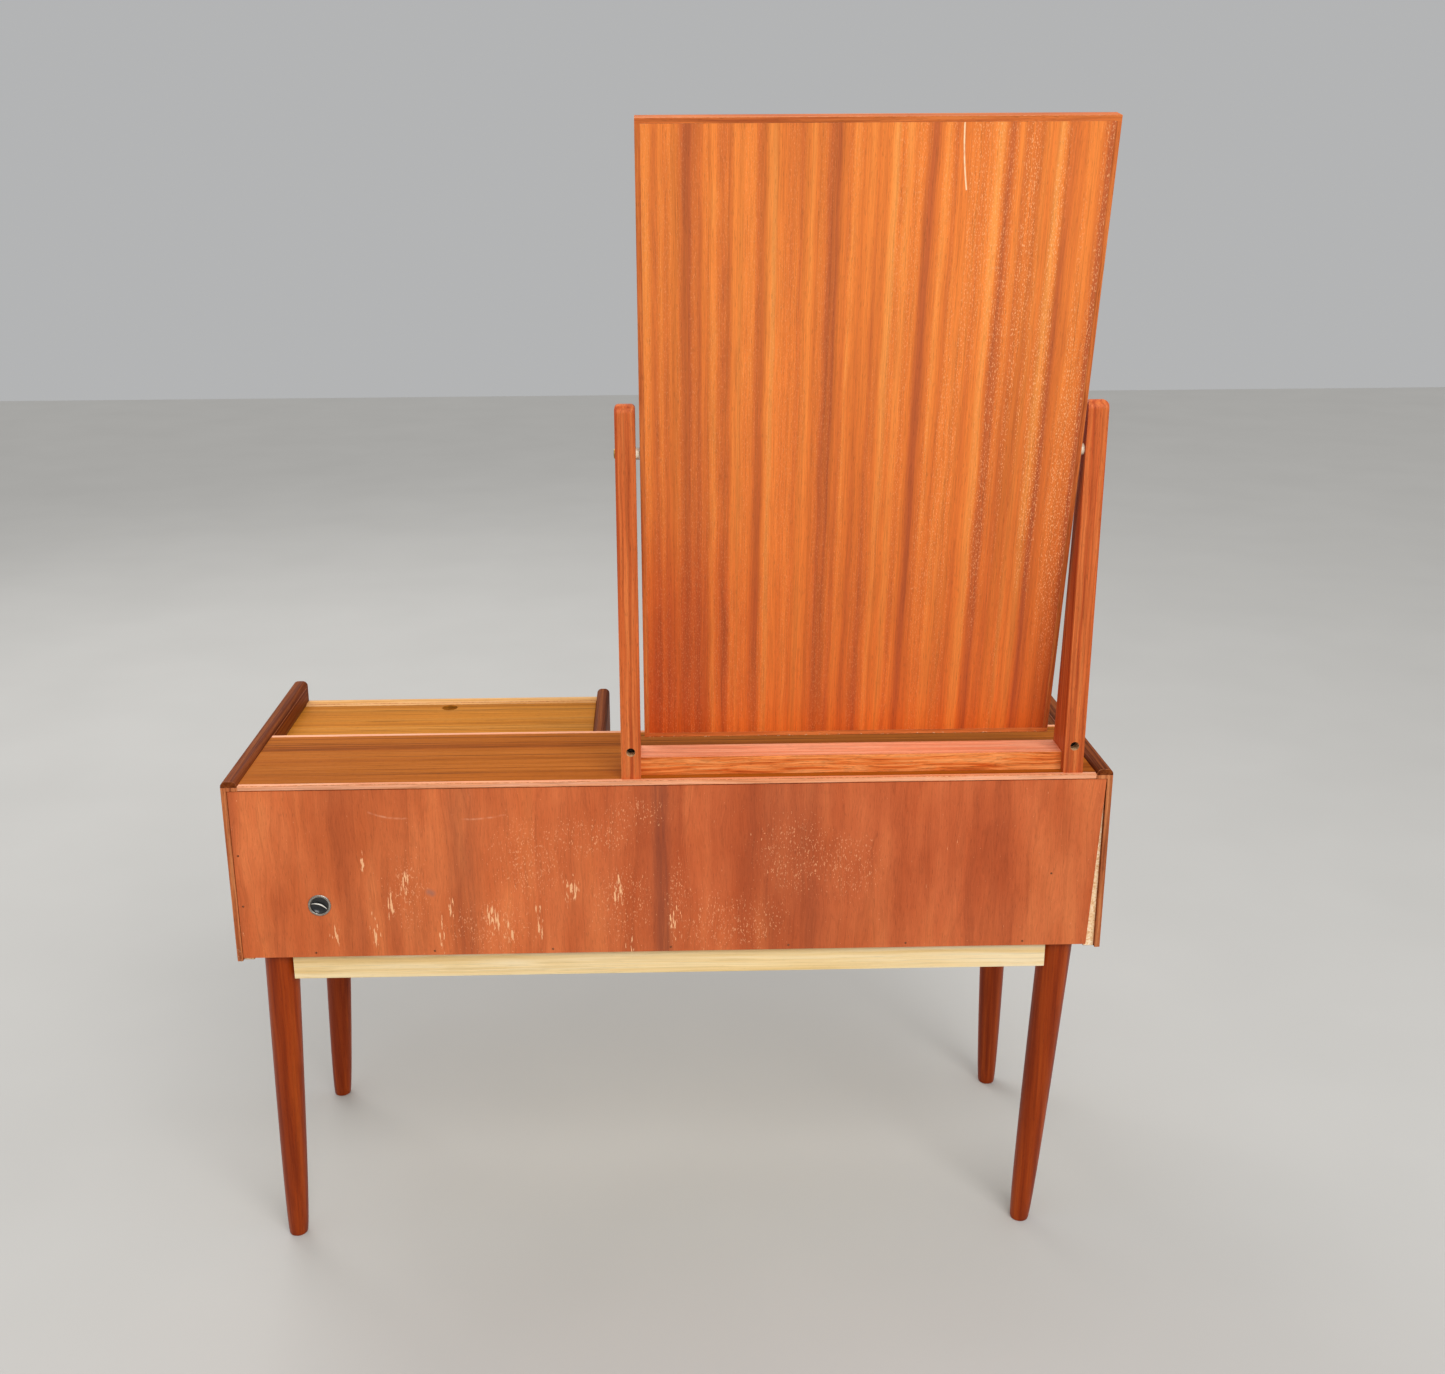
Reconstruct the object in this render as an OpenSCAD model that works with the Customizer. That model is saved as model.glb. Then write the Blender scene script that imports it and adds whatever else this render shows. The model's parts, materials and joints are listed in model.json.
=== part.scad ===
// Vanity table with a tilting mirror.
// +Z is up and the front faces -Y. The origin is on the floor, below the middle
// of the box that holds the whole table with the mirror leaning back.
// Depths are counted from the back of the case towards the front.

/* [Case] */
// Width over both end panels
case_w = 1100; // [1100:10:1200]
// Depth of the end panels
case_d = 405; // [390:5:430]
// Height of the rear shelf above the floor
shelf_top_z = 664; // [655:1:690]
// Height of the underside of the case above the floor
case_bottom_z = 430; // [420:1:440]
// Thickness of an end panel
end_t = 20.5; // [18:0.5:22]
// Height of the end panels above the rear shelf
end_rise = 6; // [3:1:12]
// Width of the solid strips on panel edges
lip = 8; // [6:1:10]

/* [Shelf, divider and lower top] */
// Depth of the rear shelf
shelf_d = 184; // [170:2:200]
// Thickness of the rear shelf
shelf_t = 20; // [18:1:22]
// Centre of the divider, from the middle of the case
divider_x = 93; // [60:1:110]
// Thickness of the divider
divider_t = 18; // [16:1:20]
// Height of the divider's top below the shelf
divider_drop = 12; // [6:1:12]
// Height of the lower top, on the mirror side, above the floor
table_z = 560; // [550:2:570]
// Thickness of the lower top
table_t = 18; // [16:1:20]

/* [Compartment and lid] */
// Height of the lid's face below the shelf
lid_drop = 24; // [24:1:30]
// Thickness of the lid
lid_t = 18; // [16:1:19]
// Thickness of the fascia in front of the compartment
fascia_t = 20; // [18:1:22]
// Height of the compartment's floor above the case floor
drawer_h = 115; // [110:1:120]
// Diameter of the finger hole in the lid
finger_hole_d = 22; // [18:1:28]
// Distance of the finger hole from the lid's front edge
finger_hole_inset = 22; // [20:1:30]

/* [Back] */
// Thickness of the back panel
back_t = 4; // [3:0.5:4]
// Width of the end panel's tongue beside the back panel
tongue_w = 7; // [5:0.5:8]
// Amount by which one lower corner of the back panel is cut short
back_cut = 11; // [0:1:12]
// Distance of the hole cap from the middle of the case
cap_x = 441; // [380:1:480]
// Height of the hole cap above the floor
cap_z = 502; // [490:1:540]
// Diameter of the hole that the cap closes
cap_hole_d = 25; // [20:1:30]

/* [Mirror and its stand] */
// Width of the mirror
mirror_w = 514; // [480:2:516]
// Height of the mirror below its pivots
mirror_below = 375.4; // [360:0.2:376]
// Height of the mirror above its pivots
mirror_above = 373; // [350:1:380]
// Thickness of the mirror, frame and glass together
mirror_t = 22; // [20:1:24]
// Backward tilt of the mirror as it stands
mirror_tilt = 10.4; // [5:0.2:15]
// Height of the pivots above the shelf
pivot_rise = 401; // [401:1:420]
// Depth of the pivots from the back of the case
pivot_d = 17; // [16:1:18]
// Distance between the centres of the two posts
post_span = 547.5; // [547.5:0.5:552]
// Centre of the mirror, from the middle of the case
mirror_x = -227; // [-232:1:-222]
// Width of a post
post_w = 24; // [22:1:25]
// Depth of a post at its foot
post_foot_d = 56; // [50:1:60]
// Depth of a post at its top
post_top_d = 22; // [20:1:24]
// Height of a post
post_h = 459; // [450:1:480]
// Height of the rail between the posts
rail_h = 23.5; // [18:0.5:23.5]
// Diameter of the nut pocket in the back of each post
pocket_d = 11; // [9:1:12]
// Height of the nut pocket above the shelf
pocket_z = 35; // [32:1:40]

/* [Legs and underframe] */
// Distance of the leg tops from the middle of the case
leg_x = 501; // [480:1:505]
// Depth of the back legs from the back of the case
leg_back_d = 29; // [26:1:40]
// Depth of the front legs from the back of the case
leg_front_d = 366; // [350:1:368]
// Diameter of a leg at the top
leg_top_d = 43; // [38:1:46]
// Diameter of a leg at the floor
leg_foot_d = 23; // [20:1:28]
// Height of the underframe rails
frame_h = 34; // [28:1:40]
// Distance from the middle of a leg to the end of a long rail
rail_stop = 19; // [14:1:20]
// Thickness of the underframe rails
frame_t = 20; // [16:1:22]

/* [Hidden] */

$fn = 48;
gap = 0.4;              // air between a moving piece and its neighbour
run = 0.05;             // radial clearance of a pin in its hole

// Case levels and edges
inner_x = case_w / 2 - end_t;
end_top_z = shelf_top_z + end_rise;
end_bottom_z = case_bottom_z - 4;
bottom_t = 16;
floor_z = case_bottom_z + bottom_t;
shelf_z = shelf_top_z - shelf_t;
back_rebate = 5;
back_top_z = shelf_top_z - 7.5;
div_left = divider_x - divider_t / 2;
div_right = divider_x + divider_t / 2;
div_top_z = shelf_top_z - divider_drop;
round_r = 7;            // rounding along the top edges of the end panels

// Bank on the right: lid, compartment and small drawer
lid_z = shelf_top_z - lid_drop;
fascia_d = case_d - fascia_t;
compartment_z = floor_z + drawer_h;
compartment_floor_t = 10;
compartment_back_t = 16;
hinge_d = shelf_d + 3;
hinge_z = lid_z + 0.6;
knuckle_r = 2.4;
hinge_pin_r = 1;
leaf_t = 1;
lid_back_d = hinge_d + 2.7;
lid_front_d = fascia_d - 1.4;   // clears the fascia as the lid's lower edge swings past
bank_x = (div_right + inner_x) / 2;
lid_x0 = div_right + 1;
lid_x1 = inner_x - 1;

// Drawers
drawer_play = 1.5;      // gap round a drawer front
box_play = 2;           // gap between a drawer side and the case
side_t = 12;
box_floor_t = 4;
runner_h = 12;
runner_out = 6;
groove_in = 4.5;
knob_l = 22;
knob_r = 13;
front_d = case_d - 1;

// Mirror stand
pivot_z = shelf_top_z + pivot_rise;
post_back_d = 5;
post_x = [mirror_x - post_span / 2, mirror_x + post_span / 2];
rail_back_d = post_back_d + 13;
pivot_r = 3;
side_gap = (post_span - post_w - mirror_w) / 2;
spacer_t = side_gap - gap;
glass_t = 5;
mirror_lip = 6;
insert_r = 5;
insert_l = 16;
bolt_r = 3;
bolt_d = post_back_d + 22;

// Underframe
frame_z = case_bottom_z - frame_h;
frame_back_d = leg_back_d - frame_t - 1;
frame_front_d = leg_front_d + 1;
rail_end = leg_x - rail_stop;
block_w = 46;
block_h = 22;
// How far each foot stands outside the top of its leg
lean_back_left = -24;
lean_back_right = 12;
lean_front_left = 2;
lean_front_right = 17;

// The box is centred on the knobs in front and the leaning mirror's top behind
mirror_reach = mirror_above * sin(mirror_tilt) + mirror_t / 2 * cos(mirror_tilt) - pivot_d;
y_back = (front_d + knob_l - mirror_reach) / 2;

// ---- Helpers -------------------------------------------------------------

// A board from x0 to x1, from depth d0 to d1 behind-to-front, from z0 to z1
module board(x0, x1, d0, d1, z0, z1) {
    translate([x0, y_back - d1, z0]) cube([x1 - x0, d1 - d0, z1 - z0]);
}

// A profile drawn with its first axis along depth and its second up, spread over x0 to x1
module along_x(x0, x1) {
    translate([x1, y_back, 0]) rotate([90, 0, -90]) linear_extrude(x1 - x0) children();
}

// A profile drawn in x and z, spread from depth d0 to d1
module along_depth(d0, d1) {
    translate([0, y_back - d0, 0]) rotate([90, 0, 0]) linear_extrude(d1 - d0) children();
}

// A rod along X, along depth or upright, given by the middle of its starting end
module rod_x(x, d, z, r, l) {
    translate([x, y_back - d, z]) rotate([0, 90, 0]) cylinder(h = l, r = r);
}
module rod_d(x, d, z, r, l) {
    translate([x, y_back - d, z]) rotate([90, 0, 0]) cylinder(h = l, r = r);
}
module rod_z(x, d, z, r, l) {
    translate([x, y_back - d, z]) cylinder(h = l, r = r);
}

// A rectangle from [0, 0] with its two top corners rounded
module round_top(w, h, r) {
    square([w, h - r]);
    translate([r, 0]) square([w - 2 * r, h]);
    intersection() {
        square([w, h]);
        for (x = [r, w - r]) translate([x, h - r]) circle(r);
    }
}

// Turns its children from the upright mirror to the tilted one
module tilted() {
    translate([mirror_x, y_back - pivot_d, pivot_z]) rotate([-mirror_tilt, 0, 0]) children();
}

// ---- Case ----------------------------------------------------------------

// s is -1 for the left end and 1 for the right end
module end_panel(s) {
    difference() {
        translate([s * (inner_x + end_t / 2), 0, 0])
            board(-end_t / 2, end_t / 2, 0, case_d - lip, end_bottom_z, end_top_z - lip);
        translate([s * (inner_x - tongue_w) + s * end_t / 2, 0, 0])
            board(-end_t / 2, end_t / 2, -1, back_rebate, end_bottom_z - 1, back_top_z + 0.5);
    }
}

module end_lipping(s) {
    translate([s * (inner_x + end_t / 2) - end_t / 2, 0, end_top_z - lip])
        along_depth(0, case_d) round_top(end_t, lip, round_r);
    translate([s * (inner_x + end_t / 2), 0, 0])
        board(-end_t / 2, end_t / 2, case_d - lip, case_d, end_bottom_z, end_top_z - lip);
}

module left_end_panel() { color("#7d3a1c") end_panel(-1); }
module right_end_panel() { color("#7d3a1c") end_panel(1); }
module left_end_lipping() { color("#6d2f17") end_lipping(-1); }
module right_end_lipping() { color("#6d2f17") end_lipping(1); }

module rear_shelf() {
    color("#a8682c") difference() {
        board(-inner_x, inner_x, lip - 1, shelf_d - lip, shelf_z, shelf_top_z);
        for (x = post_x) rod_z(x, bolt_d, shelf_z - 1, bolt_r + 0.2, shelf_t + 2);
    }
}

// Flush with the back above the back panel, and set in below to clear it
module shelf_back_lipping() {
    color("#b4602f") along_x(-inner_x, inner_x) polygon([
        [0, shelf_top_z], [lip - 1, shelf_top_z], [lip - 1, shelf_z], [back_rebate, shelf_z],
        [back_rebate, back_top_z + 1], [0, back_top_z + 1]]);
}

module shelf_front_lipping() {
    color("#9c5f2a") board(-inner_x, inner_x, shelf_d - lip, shelf_d, shelf_z, shelf_top_z);
}

module divider() {
    color("#7d3a1c") {
        board(div_left, div_right, back_rebate, shelf_d + gap, floor_z, shelf_z);
        board(div_left, div_right, shelf_d + gap, case_d - lip, floor_z, div_top_z - lip);
    }
}

module divider_lipping() {
    color("#6d2f17") {
        translate([div_left, 0, div_top_z - lip])
            along_depth(shelf_d + gap, case_d) round_top(divider_t, lip, round_r);
        board(div_left, div_right, case_d - lip, case_d, floor_z, div_top_z - lip);
    }
}

module table_top() {
    color("#a8682c")
        board(-inner_x, div_left, back_rebate, case_d - lip, table_z - table_t, table_z);
}

module table_top_lipping() {
    color("#9c5f2a")
        board(-inner_x, div_left, case_d - lip, case_d, table_z - table_t, table_z);
}

module bottom_board() {
    color("#c9a06a") difference() {
        board(-inner_x, inner_x, back_rebate, case_d - lip, case_bottom_z, floor_z);
        for (x = [-leg_x, leg_x], d = [leg_back_d, leg_front_d])
            rod_z(x, d, case_bottom_z - 1, 4.2, bottom_t + 2);
    }
}

module bottom_lipping() {
    color("#7d3a1c") board(-inner_x, inner_x, case_d - lip, case_d, case_bottom_z, floor_z);
}

// One lower corner is cut short, so the raw edge of the end panel shows beside it
module back_panel() {
    edge = case_w / 2 - tongue_w - 0.3;
    color("#b5562a") difference() {
        along_depth(back_rebate - back_t, back_rebate) polygon([
            [-edge, back_top_z], [edge, back_top_z], [edge, case_bottom_z],
            [-edge + back_cut, case_bottom_z]]);
        rod_d(cap_x, 0, cap_z, cap_hole_d / 2, back_rebate + 1);
    }
}

// Round heads down the ends of the panel and a row along its lower edge
module back_panel_pins() {
    pin_r = 1.4;
    head_d = back_rebate - back_t - 0.3;
    right_x = case_w / 2 - tongue_w - 6.5;
    left_x = inner_x - 48;
    color("#d8cdb0") {
        for (z = [cap_z, cap_z + 69]) rod_d(right_x, head_d, z, pin_r, 12);
        rod_d(-left_x, head_d, cap_z + 28, pin_r, 12);
        for (i = [-3 : 3]) rod_d(i * 150, head_d, case_bottom_z + 6, pin_r, 12);
    }
}

// A rim, a sunk dish and a raised rib across it
module back_hole_cap() {
    face_d = back_rebate - back_t;
    color("#3a3630") {
        difference() {
            union() {
                rod_d(cap_x, face_d - 1.5, cap_z, cap_hole_d / 2 + 2.2, 1.5);
                rod_d(cap_x, face_d, cap_z, cap_hole_d / 2 - 0.2, 12);
            }
            rod_d(cap_x, face_d - 2, cap_z, cap_hole_d / 2 - 1.6, 9);
        }
        translate([cap_x, y_back - face_d - 5, cap_z]) rotate([0, 32, 0])
            cube([cap_hole_d - 3, 4.5, 2.2], center = true);
    }
}

// ---- Bank with the lid ---------------------------------------------------

module compartment_back() {
    color("#c9a06a") board(div_right, inner_x, shelf_d - compartment_back_t, shelf_d,
        compartment_z, shelf_z);
}

module compartment_floor() {
    color("#c9a06a") board(div_right, inner_x, shelf_d, fascia_d,
        compartment_z, compartment_z + compartment_floor_t);
}

module fascia() {
    color("#8f4a22") board(div_right, inner_x, fascia_d, front_d, compartment_z, lid_z - lip);
}

module fascia_lipping() {
    color("#d29a55") board(div_right, inner_x, fascia_d, front_d, lid_z - lip, lid_z);
}

module lid_rests() {
    rest_z = lid_z - lid_t - gap;
    color("#c9a06a") for (x = [div_right, inner_x - 10])
        board(x, x + 10, shelf_d + 12, fascia_d, rest_z - 14, rest_z);
}

module lid_panel() {
    color("#a8682c") difference() {
        board(lid_x0, lid_x1, lid_back_d, lid_front_d - lip, lid_z - lid_t, lid_z);
        rod_z(bank_x, lid_front_d - finger_hole_inset, lid_z - lid_t - 1,
            finger_hole_d / 2, lid_t + 2);
    }
}

module lid_lipping() {
    color("#c98f4a")
        board(lid_x0, lid_x1, lid_front_d - lip, lid_front_d, lid_z - lid_t, lid_z);
}

// Knuckles of the long hinge: every second one belongs to the same leaf
knuckles = 9;
knuckle_l = (lid_x1 - lid_x0 - 2) / knuckles;

module hinge_leaf(first, d0, z0) {
    for (i = [first : 2 : knuckles - 1]) {
        x = lid_x0 + 1 + i * knuckle_l;
        difference() {
            union() {
                rod_x(x + gap / 2, hinge_d, hinge_z, knuckle_r, knuckle_l - gap);
                board(x + gap / 2, x + knuckle_l - gap / 2, d0, d0 + leaf_t, z0, hinge_z);
            }
            rod_x(x - 1, hinge_d, hinge_z, hinge_pin_r + run, knuckle_l + 2);
        }
    }
    board(lid_x0 + 1.2, lid_x1 - 1.2, d0, d0 + leaf_t, z0, hinge_z - knuckle_r - gap);
}

module hinge_fixed_leaf() {
    color("#b9933f") hinge_leaf(0, shelf_d, lid_z - lid_t - 3);
}

module hinge_lid_leaf() {
    color("#b9933f") hinge_leaf(1, lid_back_d - leaf_t, lid_z - lid_t + 1);
}

module hinge_pin() {
    color("#8c7a4c")
        rod_x(lid_x0 + 1, hinge_d, hinge_z, hinge_pin_r, lid_x1 - lid_x0 - 2);
}

// ---- Drawers -------------------------------------------------------------

// x0 and x1 are the walls of the opening, z1 its top; the opening starts at floor_z
module front_board(x0, x1, z1) {
    board(x0 + drawer_play, x1 - drawer_play, fascia_d, front_d,
        floor_z + drawer_play, z1 - drawer_play);
}

// The upper and lower edge of a drawer's sides
function box_z0() = floor_z + 5;
function box_z1(z1) = z1 - 12;
function runner_z(z1) = (box_z0() + box_z1(z1)) / 2 - runner_h / 2;
box_back_d = 30;

module drawer_sides(x0, x1, z1) {
    for (side = [0, 1]) {
        outer = side == 0 ? x0 + box_play : x1 - box_play;
        inner = side == 0 ? outer + side_t : outer - side_t;
        groove = side == 0 ? outer - 1 : outer - groove_in;
        difference() {
            board(min(outer, inner), max(outer, inner), box_back_d, fascia_d,
                box_z0(), box_z1(z1));
            board(groove, groove + groove_in + 1, box_back_d - 1, fascia_d - 20,
                runner_z(z1) - 0.5, runner_z(z1) + runner_h + 0.5);
        }
    }
}

module drawer_back(x0, x1, z1) {
    inset = box_play + side_t;
    board(x0 + inset, x1 - inset, box_back_d, box_back_d + side_t,
        box_z0() + 12, box_z1(z1) - 4);
}

module drawer_bottom(x0, x1) {
    inset = box_play + side_t;
    board(x0 + inset, x1 - inset, box_back_d, fascia_d,
        box_z0() + 12 - box_floor_t, box_z0() + 12);
}

// A turned knob: narrow foot, flared head with a slightly domed face
module knob(x, z) {
    translate([x, y_back - front_d, z]) rotate([90, 0, 0]) rotate_extrude() {
        polygon([[0, 0], [8.5, 0], [7, 4], [6.5, 9], [knob_r - 2, knob_l - 7],
            [knob_r, knob_l - 4], [knob_r - 1.5, knob_l - 1.2], [knob_r - 6, knob_l],
            [0, knob_l]]);
    }
}

small_z1 = compartment_z;
wide_z1 = table_z - table_t;
wide_x0 = -inner_x;
wide_x1 = div_left;

module small_drawer_front() {
    color("#8f4a22") front_board(div_right, inner_x, small_z1);
}
module small_drawer_sides() {
    color("#d8b682") drawer_sides(div_right, inner_x, small_z1);
}
module small_drawer_back() {
    color("#d8b682") drawer_back(div_right, inner_x, small_z1);
}
module small_drawer_bottom() { color("#cfae7a") drawer_bottom(div_right, inner_x); }
module small_drawer_knob() {
    color("#6d2f17") knob(bank_x, (floor_z + small_z1) / 2);
}

module wide_drawer_front() { color("#8f4a22") front_board(wide_x0, wide_x1, wide_z1); }
module wide_drawer_sides() { color("#d8b682") drawer_sides(wide_x0, wide_x1, wide_z1); }
module wide_drawer_back() { color("#d8b682") drawer_back(wide_x0, wide_x1, wide_z1); }
module wide_drawer_bottom() { color("#cfae7a") drawer_bottom(wide_x0, wide_x1); }
module wide_drawer_knobs() {
    color("#6d2f17") for (s = [-1, 1])
        knob((wide_x0 + wide_x1) / 2 + s * 150, (floor_z + wide_z1) / 2);
}

module drawer_runners() {
    walls = [[div_right, small_z1, 1], [inner_x, small_z1, -1],
        [wide_x0, wide_z1, 1], [wide_x1, wide_z1, -1]];
    color("#d8b682") for (w = walls) {
        x0 = w[2] > 0 ? w[0] : w[0] - runner_out;
        board(x0, x0 + runner_out, 15, fascia_d - 25, runner_z(w[1]),
            runner_z(w[1]) + runner_h);
    }
}

// ---- Stand for the mirror ------------------------------------------------

// Upright at the back, sloping in front, round at the top, with a pocket for its nut
module post(x) {
    top_r = post_top_d / 2;
    top_z = shelf_top_z + post_h;
    difference() {
        intersection() {
            along_x(x - post_w / 2, x + post_w / 2) {
                polygon([[post_back_d, shelf_top_z], [post_back_d + post_foot_d, shelf_top_z],
                    [post_back_d + post_top_d, top_z - top_r], [post_back_d, top_z - top_r]]);
                translate([post_back_d + top_r, top_z - top_r]) circle(top_r);
            }
            translate([x - post_w / 2, 0, shelf_top_z])
                along_depth(0, 80) round_top(post_w, post_h, 6);
        }
        rod_d(x, post_back_d - 1, shelf_top_z + pocket_z, pocket_d / 2, 35);
        rod_z(x, bolt_d, shelf_top_z - 1, bolt_r + 0.2, pocket_z);
        rod_x(x - post_w, pivot_d, pivot_z, pivot_r + run, 2 * post_w);
        dowel_holes(x);
    }
}

dowel_r = 4;
dowel_in = 14;
dowel_z = shelf_top_z + rail_h / 2;
dowel_depths = [rail_back_d + 20, rail_back_d + 35];

module dowel_holes(x) {
    start = x < mirror_x ? x + post_w / 2 - dowel_in : x - post_w / 2 - 1;
    for (d = dowel_depths) rod_x(start, d, dowel_z, dowel_r, dowel_in + 1);
}

module left_post() { color("#9a4524") post(post_x[0]); }
module right_post() { color("#9a4524") post(post_x[1]); }

rail_x0 = post_x[0] + post_w / 2;
rail_x1 = post_x[1] - post_w / 2;

module post_rail() {
    color("#b0602f") difference() {
        board(rail_x0, rail_x1, rail_back_d, post_back_d + post_foot_d,
            shelf_top_z, shelf_top_z + rail_h);
        for (x = [rail_x0 - 1, rail_x1 - dowel_in], d = dowel_depths)
            rod_x(x, d, dowel_z, dowel_r, dowel_in + 1);
    }
}

module rail_dowels() {
    color("#d8b682") for (x = [rail_x0, rail_x1], d = dowel_depths)
        rod_x(x - dowel_in + 0.5, d, dowel_z, dowel_r - run, 2 * dowel_in - 1);
}

// Bolts up through the shelf into barrel nuts that lie in the posts' pockets
module post_bolts() {
    color("#b8b4a8") for (x = post_x) {
        rod_z(x, bolt_d, shelf_z - 1.5, 9, 1.5);
        rod_z(x, bolt_d, shelf_z - 5.5, 5.5, 4);
        rod_z(x, bolt_d, shelf_z - 1.5, bolt_r, shelf_t + pocket_z + 3);
    }
}

module post_barrel_nuts() {
    color("#b8b4a8") for (x = post_x) difference() {
        rod_d(x, bolt_d - 7, shelf_top_z + pocket_z, pocket_d / 2 - 0.1, 14);
        rod_z(x, bolt_d, shelf_top_z + pocket_z - 10, bolt_r + run, 20);
    }
}

// Screws from outside each post into the edge of the mirror
module pivot_screws() {
    shank = post_w + side_gap + 12;
    color("#d9c58c") for (s = [-1, 1]) {
        outer = mirror_x + s * (post_span + post_w) / 2;
        translate([outer, y_back - pivot_d, pivot_z]) rotate([0, -s * 90, 0]) {
            cylinder(h = shank, r = pivot_r);
            translate([0, 0, -1]) cylinder(h = 1, r = 5.5);
            translate([0, 0, -1.6]) cylinder(h = 0.6, r1 = 3.5, r2 = 5.5);
        }
    }
}

module pivot_spacers() {
    color("#e8dfc4") for (s = [-1, 1]) {
        face = mirror_x + s * (post_span - post_w) / 2;
        x0 = s < 0 ? face : face - spacer_t;
        difference() {
            rod_x(x0, pivot_d, pivot_z, 7, spacer_t);
            rod_x(x0 - 1, pivot_d, pivot_z, pivot_r + run, spacer_t + 2);
        }
    }
}

// ---- Mirror --------------------------------------------------------------

// A slab of the upright mirror about its pivot: half width, down, up, and depth range,
// with depth counted from the pivot axis towards the front
module slab(half_w, down, up, d0, d1) {
    translate([-half_w, -d1, -down]) cube([2 * half_w, d1 - d0, down + up]);
}

module mirror_board() {
    half = mirror_w / 2 - mirror_lip;
    color("#c2692f") tilted() difference() {
        slab(half, mirror_below - mirror_lip, mirror_above - mirror_lip,
            -mirror_t / 2, mirror_t / 2 - glass_t - 1);
        insert_holes();
    }
}

module insert_holes() {
    for (s = [-1, 1]) rotate([0, s * 90, 0]) translate([0, 0, mirror_w / 2 - insert_l])
        cylinder(h = insert_l + 1, r = insert_r);
}

// Four solid strips round the board, standing proud in front to hold the glass
module mirror_lippings() {
    half = mirror_w / 2;
    color("#a5572a") tilted() difference() {
        union() {
            for (s = [-1, 1]) translate([s * (half - mirror_lip / 2), 0, 0])
                slab(mirror_lip / 2, mirror_below - mirror_lip, mirror_above - mirror_lip,
                    -mirror_t / 2, mirror_t / 2);
            slab(half, mirror_below, mirror_lip - mirror_below, -mirror_t / 2, mirror_t / 2);
            slab(half, mirror_lip - mirror_above, mirror_above, -mirror_t / 2, mirror_t / 2);
        }
        insert_holes();
    }
}

module mirror_glass() {
    inset = mirror_lip + 0.5;
    color("#cfd8dc") tilted()
        slab(mirror_w / 2 - inset, mirror_below - inset, mirror_above - inset,
            mirror_t / 2 - glass_t - 1, mirror_t / 2 - 1);
}

// Threaded sleeves in the mirror's edges that turn on the pivot screws
module pivot_inserts() {
    color("#b9933f") tilted() for (s = [-1, 1])
        rotate([0, s * 90, 0]) translate([0, 0, mirror_w / 2 - insert_l]) difference() {
            cylinder(h = insert_l, r = insert_r);
            translate([0, 0, 2]) cylinder(h = insert_l, r = pivot_r + run);
        }
}

// ---- Legs and underframe -------------------------------------------------

// Radius of a leg at a height, swelling quickly above the foot
function leg_r(h) = leg_foot_d / 2 + (leg_top_d - leg_foot_d) / 2 * sqrt(h / case_bottom_z);

leg_steps = 9;

// A turned leg whose foot stands lean further out than its top, cut level at both ends
module leg_shape(x, d, lean) {
    tilt = atan(lean / case_bottom_z) * sign(x);
    intersection() {
        translate([x, y_back - d, case_bottom_z]) rotate([0, -tilt, 0])
            translate([0, 0, -case_bottom_z]) rotate_extrude() polygon([
                [0, -5], [leg_r(0), -5],
                for (i = [0 : leg_steps]) [leg_r(case_bottom_z * pow(i / leg_steps, 2)),
                    case_bottom_z * pow(i / leg_steps, 2)],
                [leg_top_d / 2, case_bottom_z + 5], [0, case_bottom_z + 5]]);
        translate([x - 60, y_back - d - 60, 0]) cube([120, 120, case_bottom_z]);
    }
}

module leg(x, d, lean) {
    color("#5f2312") difference() {
        leg_shape(x, d, lean);
        rod_z(x, d, case_bottom_z - 45, 4, 50);
    }
}

module back_left_leg() { leg(-leg_x, leg_back_d, lean_back_left); }
module back_right_leg() { leg(leg_x, leg_back_d, lean_back_right); }
module front_left_leg() { leg(-leg_x, leg_front_d, lean_front_left); }
module front_right_leg() { leg(leg_x, leg_front_d, lean_front_right); }

module all_leg_shapes() {
    leg_shape(-leg_x, leg_back_d, lean_back_left);
    leg_shape(leg_x, leg_back_d, lean_back_right);
    leg_shape(-leg_x, leg_front_d, lean_front_left);
    leg_shape(leg_x, leg_front_d, lean_front_right);
}

// The rails are scribed to fit against the round legs
module frame_rear_rail() {
    color("#e0c48c") difference() {
        board(-rail_end, rail_end, frame_back_d, frame_back_d + frame_t, frame_z, case_bottom_z);
        all_leg_shapes();
    }
}

module frame_front_rail() {
    color("#e0c48c") difference() {
        board(-rail_end, rail_end, frame_front_d, frame_front_d + frame_t, frame_z, case_bottom_z);
        all_leg_shapes();
    }
}

module frame_side_rails() {
    color("#e0c48c") difference() {
        for (s = [-1, 1]) translate([s * leg_x, 0, 0])
            board(-frame_t / 2, frame_t / 2, leg_back_d, leg_front_d, frame_z, case_bottom_z);
        all_leg_shapes();
    }
}

// Triangular blocks in the corners of the underframe
module corner_blocks() {
    side_face = leg_x - frame_t / 2;
    back_face = frame_back_d + frame_t;
    color("#d8b682") difference() {
        for (s = [-1, 1], front = [0, 1]) {
            face = front == 0 ? back_face : frame_front_d;
            turn = front == 0 ? 1 : -1;
            translate([0, y_back, case_bottom_z - block_h]) linear_extrude(block_h) polygon([
                [s * side_face, -face], [s * (side_face - block_w), -face],
                [s * side_face, -face - turn * block_w]]);
        }
        all_leg_shapes();
    }
}

screw_x = leg_x - frame_t / 2 - 26;
screw_depths = [frame_back_d + frame_t + 14, frame_front_d - 14];

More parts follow.
